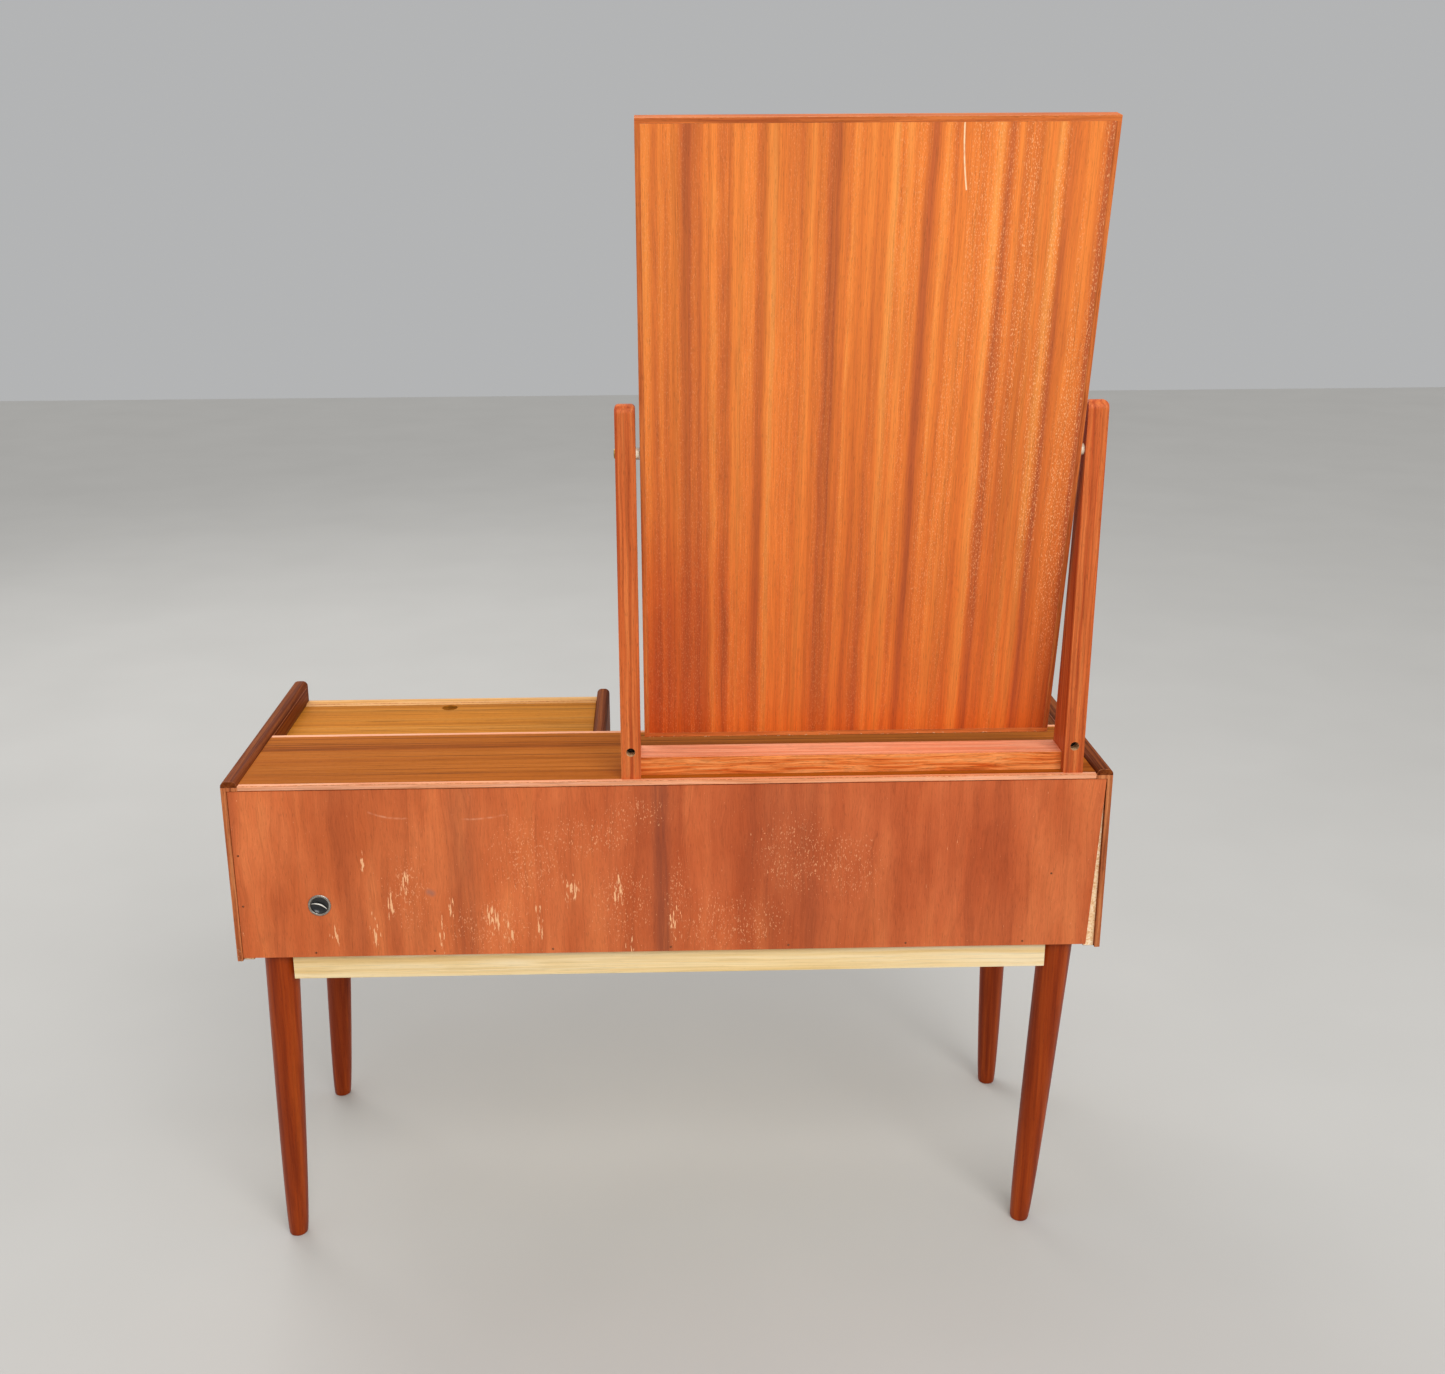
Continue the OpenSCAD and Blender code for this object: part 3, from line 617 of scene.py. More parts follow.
# The strips at the lid and the fascia are the palest teak on the table
pale_strip = wood(
    "lid_edge_strip_oiled", ["#d8944c", "#e8aa64", "#f2bc7c"], "x", bands_mm=5, length_mm=300,
    tone=0.1, shine=0.05,
)
print("strips bleached from teak:", teak_strip.name, "and", pale_strip.name)

# %% [markdown]
# ## Ends, divider and fronts
#
# The end panels and the divider are a darker teak whose grain runs from front to back. Their
# strips are darker still. The drawer fronts were cut from one wide, calm leaf.

# %% Upright boards
# Darker leaves on the upright boards: brown with close stripes from front to back
end_teak = wood(
    "dark_teak_veneer_oiled", ["#6a2c0c", "#843e14", "#96501e", "#a8602a"], "y", bands_mm=7,
    length_mm=500, wander_mm=2, lines=0.5, line_mm=4, tone=0.15, gloss=0.55, shine=0.05,
)
# Dark solid strips on the ends, the divider and the bottom draw the outline of the case
dark_strips = {
    node: wood(
        "dark_teak_strip_oiled_" + node.split("_")[0], ["#5e260a", "#783814", "#8e4a20"], grain,
        bands_mm=5, length_mm=400, wander_mm=2, lines=0.45, line_mm=4, tone=0.12, gloss=0.55,
        shine=0.05, place_on=place_on,
    )
    for node, grain, place_on in (
        ("left_end_lipping", "z", mitre_place("left_end_lipping")),
        ("divider_lipping", "z", mitre_place("divider_lipping")),
        ("bottom_lipping", "x", None),
    )
}
dark_strips["right_end_lipping"] = dark_strips["left_end_lipping"]
# The back edge of an end panel is rubbed, with open grain
tongue_teak = wood(
    "teak_tongue_worn", ["#a8562c", "#c8703e", "#dc8852"], "z", bands_mm=4, length_mm=160, tone=0.2,
    pores=0.45,
)
# Drawer fronts have a wide, calm figure, a little redder than the tops
front_teak = wood(
    "front_teak_veneer_oiled", ["#8a4418", "#a85a24", "#bc6c30", "#c87c3e"], "x", (0.1, 0, 0.2),
    bands_mm=18, length_mm=900, lines=0.4, line_mm=9,
)
print("dark strips:", ", ".join(dark_strips))

# %% [markdown]
# ## Posts, rail, legs and knobs
#
# These parts are solid. The posts and the rail are reddish, and the rail's grain is lively
# because it was sawn flat. The legs are another wood, stained to go with them. Only the knobs
# are polished by hands, so they shine the most.

# %% Solid parts
# Solid posts are plain red-brown, so that they frame the lively mirror
post_teak = wood(
    "post_teak_solid_oiled", ["#b84f22", "#d2662f", "#e07a3e"], "z", bands_mm=6, length_mm=380,
    wander_mm=3, tone=0.12, gloss=0.5, shine=0.15,
)
# The rail is sawn flat: short wavy orange lines
rail_teak = wood(
    "rail_teak_solid_oiled", ["#d05c1e", "#ea7c36", "#f6924c", "#fca05c"], "x", bands_mm=3,
    length_mm=110, wander_mm=9, lines=0.35, line_mm=2.4, tone=0.08, shine=0.15,
)
# Painted light: the top of the rail takes a paler, pinker copy of the rail's wood, as if lit from above
rail_top_painted_light = wood(
    "rail_top_teak_painted_light", ["#ec9064", "#f8a67c", "#ffb890"], "x", bands_mm=6, length_mm=260,
    lines=0.2, line_mm=5, pores=0.25, tone=0.08, gloss=0.6, shine=0.2,
)
# Stained and lacquered beech: an even red-brown with a soft gloss down each leg
leg_beech = wood(
    "beech_stained_lacquered", ["#882e04", "#9c3a08", "#ae4810"], "z", bands_mm=9, length_mm=420,
    wander_mm=3, lines=0.12, fibre=0.14, pores=0.2, tone=0.1, gloss=0.36, shine=0.14, coat=0.03,
)
# Turned and waxed: dark, with a small bright highlight
knob_teak = wood(
    "knob_teak_turned", ["#6a2c12", "#88441e", "#9c5428"], "x", bands_mm=5, length_mm=90, gloss=0.34,
    shine=0.35, coat=0.15,
)
print("the legs are", leg_beech.name)

# %% [markdown]
# ## What was not meant to be seen
#
# Drawer sides, bottoms and the frame under the case are bare pine, pale and matt. The back of
# the mirror and the back panel were meant for a wall: good veneer, but thin film and long wear.

# %% Pine and backs
# Bare planed pine is pale cream and matt, with hardly any pores
pine_bare = wood(
    "pine_bare_planed", ["#f0cc8c", "#fadca4", "#ffe8bc"], "x", bands_mm=9, length_mm=500, lines=0.12,
    line_mm=6, fibre=0.08, pores=0.08, tone=0.08, gloss=0.66, shine=0.3,
)
# The same pine laid from front to back, yellowed a little by age
pine_sides = wood(
    "pine_drawer_sides_planed", ["#d8b070", "#e6c48a", "#f0d29e"], "y", bands_mm=9, length_mm=400,
    lines=0.2, line_mm=6, fibre=0.1, pores=0.1, tone=0.1, gloss=0.64, shine=0.3,
)
# Ribbon veneer under lacquer: broad orange ribbons with a soft gloss
mirror_veneer = wood(
    "ribbon_veneer_lacquered", ["#c6622f", "#de7331", "#ee8034", "#f98c3b", "#ff9c48"], "z",
    tuple(mirror_axis), MIRROR_LEAN, bands_mm=21, length_mm=2600, wander_mm=4, lines=0.14,
    line_mm=30, fibre=0.2, pores=0.2, tone=0.08, gloss=0.42, shine=0.25, coat=0.04, wear=mirror_wear_and_painted_shade,
)
# Thin strips round the mirror, redder than the veneer they protect
mirror_strip = wood(
    "mirror_strip_lacquered", ["#bc5c2c", "#d87236", "#e88644"], place_on=strip_place, bands_mm=6,
    length_mm=260, tone=0.12, shine=0.1,
)
# Plain veneer whose film has worn away: matt red-orange, marked by water
panel_veneer = wood(
    "back_veneer_worn", ["#ca683a", "#d6703e", "#de7844", "#e8824a"], "z", bands_mm=40, length_mm=420,
    wander_mm=16, lines=0.1, line_mm=22, fibre=0.13, pores=0.2, tone=0.08, gloss=0.6, shine=0.15,
    wear=panel_wear,
)
print("worn backs:", mirror_veneer.name, "and", panel_veneer.name)

# %% [markdown]
# ## Rubbed edges and drilled wood
#
# Where an edge is rubbed, the film is gone and the wood is paler, so each show wood has a
# lighter companion for its corners. Fresh drill marks are the palest of all.

# %% Edges and bores
# A rubbed edge has lost its film: a pale, matt line along each corner
pale_arris = wood(
    "worn_edge_teak", ["#c46a38", "#e08c56", "#f0a878"], "z", bands_mm=4, length_mm=26, lines=0.3,
    line_mm=5, tone=0.3, pores=0.35, gloss=0.6,
)
# The same on the dark boards, where the line is only a little lighter
dark_arris = wood(
    "worn_edge_dark_teak", ["#6a3014", "#8c4c26", "#b06c40"], "y", bands_mm=4, length_mm=40,
    lines=0.3, line_mm=5, tone=0.3, pores=0.35, gloss=0.55,
)
# Drilled end grain is rough and pale, the light rim inside a dark pocket
raw_bore = wood(
    "drilled_end_grain", ["#b88458", "#dcae80", "#efc69a"], "y", bands_mm=1.4, length_mm=3,
    lines=0.1, tone=0.1, gloss=0.8, shine=0.2,
)
print("woods:", len(bpy.data.materials))

# %% [markdown]
# ## Chipboard
#
# The ends are veneered chipboard: flat flakes of softwood pressed in glue. Sawn through, it shows
# pale flakes, dark glue between them, and small pits. A Voronoi texture has just that look, as
# each of its cells is one flake with its own tone.

# %% Chipboard
chipboard, tree = new_material("chipboard_sawn")
FLAKE_MM = 2.2
place = add(tree, "ShaderNodeTexCoord").outputs["Object"]
space = add(
    tree, "ShaderNodeMapping", {"Vector": place, "Scale": (1 / (FLAKE_MM * MM), 900, 1 / (FLAKE_MM * MM))}
)
flakes = add(tree, "ShaderNodeTexVoronoi", {"Vector": space, "Scale": 1.0})
tones = add(
    tree, "ShaderNodeValToRGB", {"Fac": flakes.outputs["Color"]},
    stops=[(0.1, "#d8a470"), (0.35, "#f2c894"), (0.7, "#fbdcb0"), (1.0, "#ffeacc")],
)
pits = add(
    tree, "ShaderNodeBump", {"Height": flakes.outputs["Distance"], "Strength": 0.5, "Distance": 0.3 * MM}
)
surface(tree, {"Base Color": tones, "Normal": pits, "Roughness": 0.85})
print("flake size", FLAKE_MM, "mm")

# %% [markdown]
# ## Metals, plastics and glass
#
# A metal has no colour of its own under the shine: its base colour is the colour of what it
# reflects. Old fittings are never evenly bright, so each metal has duller, darker spots. The
# plastics are moulded, with a faint texture from the steel tool. The mirror is a sheet of glass
# silvered behind, which a nearly perfect metal with a trace of green gives.


# %% Metal, plastic and silvered glass
def metal(name, colour, roughness, dull_colour, spot_mm=2.5):
    """A metal that has dulled in spots of about spot_mm."""
    material, tree = new_material(name)
    spots = streaks(tree, along_grain(tree, "x"), spot_mm, spot_mm, 0.4, 0.68, 0.0, 1.0, detail=4)
    tones = add(tree, "ShaderNodeMix", {"Factor": spots, "A": colour, "B": dull_colour}, **OVER)
    rough = add(
        tree, "ShaderNodeMapRange", {"Value": spots, "To Min": roughness, "To Max": roughness + 0.2}
    )
    surface(tree, {"Base Color": tones, "Roughness": rough, "Metallic": 1.0})
    return material


def plastic(name, colour, worn_colour, roughness):
    """Moulded plastic with a faint grit from the tool and a few rubbed places.

    The grit of a real tool is 0.05 mm across. It is drawn 0.6 mm across, so that it shows.
    """
    material, tree = new_material(name)
    place = along_grain(tree, "x")
    grit = streaks(tree, place, 0.6, 0.6, 0.3, 0.7, roughness - 0.06, roughness + 0.08)
    rubbed = streaks(tree, place, 4, 7, 0.5, 0.75, 0.0, 0.6, detail=4, seed=2.0)
    tones = add(tree, "ShaderNodeMix", {"Factor": rubbed, "A": colour, "B": worn_colour}, **OVER)
    bump = add(tree, "ShaderNodeBump", {"Height": grit, "Strength": 0.2, "Distance": 0.05 * MM})
    surface(tree, {"Base Color": tones, "Roughness": grit, "Normal": bump})
    return material


# Old brass is warm and dull, with brown spots where its lacquer failed
brass = metal("brass_lacquered_dull", "#d2ad5c", 0.28, "#8f6f3a")
# Zinc plating is a cool pale grey and softly bright
zinc = metal("steel_zinc_plated", "#c6c4bc", 0.32, "#8d8a82")
# Painted shade: the barrel nuts are zinc-plated steel, made almost black and dull so that the bottom of
# each post's pocket looks shaded
nut_steel_painted_shade = metal("steel_dark_painted_shade", "#4a4743", 0.45, "#2c2a28")
# The pins have rusted to the colour of the veneer, so they hardly show
rusted = metal("steel_pins_rusted", "#a06848", 0.6, "#5e3524", spot_mm=1.0)
# Worn nickel: a bright ring, speckled where the steel shows
nickel = metal("steel_nickel_plated", "#b9b2a8", 0.3, "#6f6860", spot_mm=1.2)
# Moulded bakelite is black and glossy, so its dish holds one sharp highlight
cap_black = plastic("bakelite_moulded", "#17181a", "#2e2c2a", 0.22)
# The pale moulded rib catches the eye against the black
cap_white = plastic("polystyrene_moulded_white", "#e8e2d6", "#bdb3a4", 0.4)
# Nylon washers are creamy and half matt
spacer_white = plastic("nylon_moulded", "#efe6cc", "#cbb98f", 0.42)

# Silvered glass: an almost perfect reflection with a trace of green and a few spots
silvered, tree = new_material("glass_silvered")
place = along_grain(tree, "z")
smear = streaks(tree, place, 60, 200, 0.4, 0.75, 0.01, 0.05, detail=3)
foxing = streaks(tree, place, 9, 9, 0.66, 0.78, 0.0, 0.5, detail=4, seed=6.0)
tones = add(tree, "ShaderNodeMix", {"Factor": foxing, "A": "#eef3f0", "B": "#b9b4a4"}, **OVER)
surface(tree, {"Base Color": tones, "Roughness": smear, "Metallic": 1.0})
print("materials in all:", len(bpy.data.materials))

# %% [markdown]
# ## Boards with eased edges
#
# No joiner leaves an edge sharp: a stroke of sandpaper rounds it by about half a millimetre, and
# that thin round catches the light and loses its film first. A copy of each CAD board has its
# loose triangles merged into whole faces. A Bevel modifier rounds every real corner, and gives
# the new round a material of its own, the worn one, which is far cheaper than painting edges.
# A last modifier lets the big faces rule the shading. Without it every board would look a little
# pillowed, and the glass would bend what it reflects.


# %% Dressing the CAD boards
def merged_copy(nodes, name):
    """One new object from copies of the CAD nodes, with doubles merged and flat faces whole."""
    shape = bmesh.new()
    for node in nodes:
        shape.from_mesh(frame["nodes"][node].data)
    bmesh.ops.remove_doubles(shape, verts=shape.verts, dist=0.005 * MM)
    bmesh.ops.dissolve_limit(
        shape, angle_limit=math.radians(0.5), verts=shape.verts, edges=shape.edges
    )
    mesh = bpy.data.meshes.new(name)
    shape.to_mesh(mesh)
    shape.free()
    return in_scene(name, mesh)


SHARP = math.radians(35)


def ease(piece, radius_mm, edge_slot=-1):
    """Rounds the sharp edges; the rounds take the material in edge_slot."""
    bevel = piece.modifiers.new("eased edges", "BEVEL")
    bevel.width = radius_mm * MM
    bevel.segments = 2
    bevel.limit_method = "ANGLE"
    bevel.angle_limit = SHARP
    bevel.material = edge_slot
    piece.data.shade_smooth()
    level = piece.modifiers.new("flat faces shade flat", "WEIGHTED_NORMAL")
    level.keep_sharp = False


def settle(piece, *nodes):
    """The piece stands for these CAD nodes: it rides on the body of the first and hides them all."""
    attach(piece, node_body[nodes[0]])
    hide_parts(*nodes)


def raw_faces(piece, material, chosen):
    """Gives the faces that chosen(centre, normal) picks a second material."""
    piece.data.materials.append(material)
    last = len(piece.data.materials) - 1
    for face in piece.data.polygons:
        if chosen(face.center, face.normal):
            face.material_index = last


def dress(node, material, radius_mm=0.6, edges=None, raw=()):
    """An eased copy of one CAD node. raw holds (material, chooser) pairs for special faces."""
    piece = merged_copy([node], node + "_finished")
    piece.data.materials.clear()
    piece.data.materials.append(material)
    for second, chosen in raw:
        raw_faces(piece, second, chosen)
    if edges:
        piece.data.materials.append(edges)
    ease(piece, radius_mm, len(piece.data.materials) - 1 if edges else -1)
    settle(piece, node)
    return piece


print("edges sharper than", round(math.degrees(SHARP)), "degrees are rounded")

# %% [markdown]
# ## Which board gets which wood
#
# Most boards need only their wood and an eased edge. The boards in the second list are touched
# every day, so their edges also take a worn colour.

# %% The boards
boards = {
    teak_shelf: ["rear_shelf", "table_top"],
    teak_lid: ["lid_panel"],
    pine_bare: [
        "bottom_board", "compartment_back", "compartment_floor", "frame_rear_rail",
        "frame_front_rail", "corner_blocks",
        "small_drawer_back", "small_drawer_bottom", "wide_drawer_back", "wide_drawer_bottom",
        "rail_dowels",
    ],
    pine_sides: [
        "small_drawer_sides", "wide_drawer_sides", "frame_side_rails", "drawer_runners", "lid_rests",
    ],
    panel_veneer: ["back_panel"],
    mirror_veneer: ["mirror_board"],
    silvered: ["mirror_glass"],
}
edged_boards = {
    teak_strip: (["shelf_back_lipping", "shelf_front_lipping", "table_top_lipping"], pale_arris),
    pale_strip: (["lid_lipping", "fascia_lipping"], pale_arris),
    front_teak: (["fascia", "small_drawer_front", "wide_drawer_front"], dark_arris),
    mirror_strip: (["mirror_lippings"], pale_arris),
    end_teak: (["divider"], dark_arris),
}
for material, nodes in boards.items():
    for node in nodes:
        dress(node, material, 0.5)
for material, (nodes, edges) in edged_boards.items():
    for node in nodes:
        dress(node, material, 0.6, edges)
for node, material in dark_strips.items():
    dress(node, material, 0.6, dark_arris)

# %% [markdown]
# ## Ends and posts with raw places
#
# Three parts show more than one surface. An end panel has a solid-looking tongue at its very
# back, and beside it the rebate that holds the back panel, where the chipboard is bare. A post
# has a drilled pocket for its nut, with pale end grain inside. The rail's top takes a paler copy
# of its wood, as painted light from above. Each such face is found by where it lies and which
# way it looks.

# %% Ends and posts
REBATE_MM = 5
POCKET_LOW, POCKET_HIGH, POCKET_REACH = 28 * MM, 42 * MM, 6 * MM


def tongue_face(centre, normal):
    """The very back of an end panel."""
    return normal.y > 0.9 and centre.y > back_y - 1 * MM


def sawn_face(centre, normal):
    """The step in the rebate, and the underside."""
    in_rebate = normal.y > 0.9 and centre.y < back_y - (REBATE_MM - 1) * MM
    return in_rebate or normal.z < -0.9


def pocket_of(post):
    """Picks the walls of a post's nut pocket: they look away from the drill's own axis."""
    low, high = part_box(post)
    middle = (low.x + high.x) / 2

    def in_pocket(centre, normal):
        at_height = shelf_z + POCKET_LOW < centre.z < shelf_z + POCKET_HIGH
        drilled = abs(normal.y) < 0.2 and abs(normal.x) < 0.999
        return at_height and drilled and abs(centre.x - middle) < POCKET_REACH

    return in_pocket


def looks_up(centre, normal):
    """The top of a rail."""
    return normal.z > 0.9


for node in ("left_end_panel", "right_end_panel"):
    dress(node, end_teak, 0.6, tongue_teak, [(chipboard, sawn_face), (tongue_teak, tongue_face)])
# The rail's top faces take the paler copy of its wood: painted light from above
dress("post_rail", rail_teak, 0.8, pale_arris, [(rail_top_painted_light, looks_up)])
for node in ("left_post", "right_post"):
    dress(node, post_teak, 0.8, pale_arris, [(raw_bore, pocket_of(node))])

# %% [markdown]
# ## Small fittings from the CAD
#
# Hinge leaves, washers, bolts and nuts already have their true shapes. They only need the fine
# round that stamping and turning leave, and their metal.

# %% Fittings
fittings = {
    brass: ["hinge_fixed_leaf", "hinge_lid_leaf", "hinge_pin", "pivot_screws", "pivot_inserts"],
    zinc: ["post_bolts", "leg_bolts"],
    # The barrel nuts are made near black as painted shade at the bottom of their pockets
    nut_steel_painted_shade: ["post_barrel_nuts"],
    spacer_white: ["pivot_spacers"],
}
for material, nodes in fittings.items():
    for node in nodes:
        dress(node, material, 0.25)
print("fittings:", sum(len(nodes) for nodes in fittings.values()))

# %% [markdown]
# ## Rules instead of models
#
# Some shapes follow a rule: a turned leg swells from foot to top, and screw heads repeat. For
# these we write the rule once, as a geometry node tree with named inputs, and let it make each
# one. Two helpers do the bookkeeping. The first opens a tree with its inputs. The second puts
# the tree on a mesh of bare points, sets its inputs by their identifiers, and keeps the
# finished mesh, so that nothing live is left on the piece.

# %% Trees and their results
SOCKETS = {
    float: "NodeSocketFloat", int: "NodeSocketInt", Vector: "NodeSocketVector",
    bpy.types.Material: "NodeSocketMaterial",
}


def new_rule(name, **inputs):
    """A geometry node tree with a named input of the given type for each size."""
    tree = bpy.data.node_groups.new(name, "GeometryNodeTree")
    tree.is_modifier = True
    tree.interface.new_socket("Points", in_out="INPUT", socket_type="NodeSocketGeometry")
    for label, kind in inputs.items():
        tree.interface.new_socket(label, in_out="INPUT", socket_type=SOCKETS[kind])
    tree.interface.new_socket("Geometry", in_out="OUTPUT", socket_type="NodeSocketGeometry")
    return tree, add(tree, "NodeGroupInput").outputs


def close_rule(tree, geometry, finish):
    """Ends a tree: instances become real mesh, and the mesh gets its finish."""
    real = add(tree, "GeometryNodeRealizeInstances", {"Geometry": geometry})
    painted = add(tree, "GeometryNodeSetMaterial", {"Geometry": real, "Material": finish})
    add(tree, "NodeGroupOutput", {"Geometry": painted})


def grow(name, rule, points=(), **sizes):
    """The plain mesh that a rule makes from these points with these sizes."""
    mesh = bpy.data.meshes.new(name + "_points")
    mesh.from_pydata([tuple(p) for p in points] or [(0, 0, 0)], [], [])
    piece = in_scene(name, mesh)
    modifier = piece.modifiers.new("rule", "NODES")
    modifier.node_group = rule
    for item in rule.interface.items_tree:
        if item.in_out == "INPUT" and item.name in sizes:
            modifier[item.identifier] = sizes[item.name]
    made = piece.evaluated_get(bpy.context.evaluated_depsgraph_get())
    result = bpy.data.meshes.new_from_object(made)
    piece.modifiers.remove(modifier)
    piece.data = result
    print(name, "has", len(result.polygons), "faces")
    return piece


print("a rule's inputs can be", ", ".join(kind.__name__ for kind in SOCKETS))

# %% [markdown]
# ## The turned legs
#
# A leg is turned on a lathe and leans outwards, so its foot stands wider than its top. The rule
# is one line: going down, the leg narrows slowly at first and quickly above the floor, as the
# square root of the height does. The tree starts from a plain tube of rings. It places the
# rings closer together near the foot, gives each its radius, and shifts it along the lean. A
# bevel then takes off the sharp rim of the foot.

# %% Legs
FOOT_RADIUS, TOP_RADIUS, TOP_AXIS = 11.5 * MM, 21.5 * MM, 501 * MM
# How far each foot stands outside its top, in mm: old legs don't lean alike
LEANS_MM = {"back_left_leg": 24, "back_right_leg": 12, "front_left_leg": -2, "front_right_leg": 17}

leg_rule, given = new_rule(
    "turned_leg", Height=float, Foot_Radius=float, Top_Radius=float, Lean=float, Top=Vector,
    Finish=bpy.types.Material,
)
tube = add(
    leg_rule, "GeometryNodeMeshCylinder",
    {"Vertices": 56, "Side Segments": 30, "Radius": 1.0, "Depth": 1.0},
)
here = add(leg_rule, "ShaderNodeSeparateXYZ", {"Vector": add(leg_rule, "GeometryNodeInputPosition")})
step = add(leg_rule, "ShaderNodeMath", {0: here.outputs["Z"], 1: 0.5}, operation="ADD")
share = add(leg_rule, "ShaderNodeMath", {0: step, 1: step}, operation="MULTIPLY")
radius = add(
    leg_rule, "ShaderNodeMapRange",
    {"Value": step, "To Min": given["Foot_Radius"], "To Max": given["Top_Radius"]},
)
below_top = add(leg_rule, "ShaderNodeMath", {0: share, 1: 1.0}, operation="SUBTRACT")
sideways = add(leg_rule, "ShaderNodeMath", {0: below_top, 1: given["Lean"]}, operation="MULTIPLY")
across = add(leg_rule, "ShaderNodeMath", {0: here.outputs["X"], 1: radius}, operation="MULTIPLY")
new_x = add(leg_rule, "ShaderNodeMath", {0: across, 1: sideways}, operation="SUBTRACT")
new_y = add(leg_rule, "ShaderNodeMath", {0: here.outputs["Y"], 1: radius}, operation="MULTIPLY")
new_z = add(leg_rule, "ShaderNodeMath", {0: below_top, 1: given["Height"]}, operation="MULTIPLY")
ring = add(leg_rule, "ShaderNodeCombineXYZ", {"X": new_x, "Y": new_y, "Z": new_z})
moved = add(leg_rule, "ShaderNodeVectorMath", {0: ring, 1: given["Top"]}, operation="ADD")
shaped = add(
    leg_rule, "GeometryNodeSetPosition", {"Geometry": tube.outputs["Mesh"], "Position": moved}
)
close_rule(leg_rule, shaped, given["Finish"])

for node, lean_mm in LEANS_MM.items():
    low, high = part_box(node)
    top = Vector((math.copysign(TOP_AXIS, high.x), (low.y + high.y) / 2, high.z))
    leg = grow(
        node + "_turned", leg_rule, Height=high.z, Foot_Radius=FOOT_RADIUS, Top_Radius=TOP_RADIUS,
        Lean=lean_mm * MM, Top=top, Finish=leg_beech,
    )
    ease(leg, 1.2)
    settle(leg, node)

# %% [markdown]
# ## Screw heads and pins
#
# Screws with a plain slot hold the hinge, the corner blocks and the knobs, and small domed pins
# hold the back panel. A head is a flattened ball sunk to its middle, and the slot is a bar taken
# out of it with a Boolean. Modelling one and placing copies by hand would do, but a rule puts a
# head on every point it is given, looks the way it is told, and turns each slot differently, as
# a hand with a screwdriver leaves them.


# %% Heads on points
def head_rule(name, slotted):
    """A rule that puts a domed head on each point, with a screwdriver slot or without."""
    rule, given = new_rule(
        name, Head_Radius=float, Dome=float, Slot=float, Facing=Vector, Turn_Seed=int,
        Finish=bpy.types.Material,
    )
    ball = add(rule, "GeometryNodeMeshUVSphere", {"Segments": 24, "Rings": 14, "Radius": 1.0})
    size = add(
        rule, "ShaderNodeCombineXYZ",
        {"X": given["Head_Radius"], "Y": given["Head_Radius"], "Z": given["Dome"]},
    )
    head = add(rule, "GeometryNodeTransform", {"Geometry": ball.outputs["Mesh"], "Scale": size})
    if slotted:
        length = add(rule, "ShaderNodeMath", {0: given["Head_Radius"], 1: 3.0}, operation="MULTIPLY")
        bar_size = add(
            rule, "ShaderNodeCombineXYZ", {"X": length, "Y": given["Slot"], "Z": given["Dome"]}
        )
        raised = add(rule, "ShaderNodeCombineXYZ", {"Z": given["Dome"]})
        bar = add(rule, "GeometryNodeMeshCube", {"Size": bar_size})
        bar_up = add(
            rule, "GeometryNodeTransform", {"Geometry": bar.outputs["Mesh"], "Translation": raised}
        )
        head = add(
            rule, "GeometryNodeMeshBoolean", {"Mesh 1": head, "Mesh 2": bar_up}, operation="DIFFERENCE"
        )
    turn = add(
        rule, "FunctionNodeRandomValue",
        {"Min": 0.0, "Max": math.pi, "Seed": given["Turn_Seed"]}, data_type="FLOAT",
    )
    spin = add(rule, "ShaderNodeCombineXYZ", {"Z": turn})
    look = add(rule, "FunctionNodeAlignRotationToVector", {"Vector": given["Facing"]}, axis="Z")
    twisted = add(
        rule, "FunctionNodeRotateRotation", {"Rotation": look, "Rotate By": spin},
        rotation_space="LOCAL",
    )
    placed = add(
        rule, "GeometryNodeInstanceOnPoints",
        {"Points": given["Points"], "Instance": head, "Rotation": twisted},
    )
    close_rule(rule, placed, given["Finish"])
    return rule


def solids(node):
    """The lowest and highest corner of each separate solid in a CAD node."""
    shape = bmesh.new()
    shape.from_mesh(frame["nodes"][node].data)
    bmesh.ops.remove_doubles(shape, verts=shape.verts, dist=0.005 * MM)
    left, boxes = set(shape.verts), []
    while left:
        edge, part = [left.pop()], []
        while edge:
            corner = edge.pop()
            part.append(corner.co.copy())
            for other in (e.other_vert(corner) for e in corner.link_edges):
                if other in left:
                    left.remove(other)
                    edge.append(other)
        boxes.append(tuple(Vector([pick(p[i] for p in part) for i in range(3)]) for pick in (min, max)))
    shape.free()
    return sorted(boxes, key=lambda box: tuple(box[0]))


def middles(node, **moved):
    """The middle of each separate solid in a CAD node, with x, y or z moved where it is given."""
    found = [(low + high) / 2 for low, high in solids(node)]
    for point in found:
        for axis, value in moved.items():
            setattr(point, axis, value)
    return found


# A slot's width, as a share of its head's radius
SLOT = 0.26
screw_rule = head_rule("slotted_screw_head", True)
pin_rule = head_rule("domed_pin_head", False)
DOWN, BACK, FRONT = Vector((0, 0, -1)), Vector((0, 1, 0)), Vector((0, -1, 0))


def heads(name, rule, points, facing, radius_mm, dome_mm, finish, seed, body_of):
    """Heads on these points. They ride on the body of the CAD node body_of."""
    piece = grow(
        name, rule, points, Head_Radius=radius_mm * MM, Dome=dome_mm * MM, Slot=SLOT * radius_mm * MM,
        Facing=facing, Turn_Seed=seed, Finish=finish,
    )
    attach(piece, node_body[body_of])
    return piece


print("rules for heads:", screw_rule.name, "and", pin_rule.name)

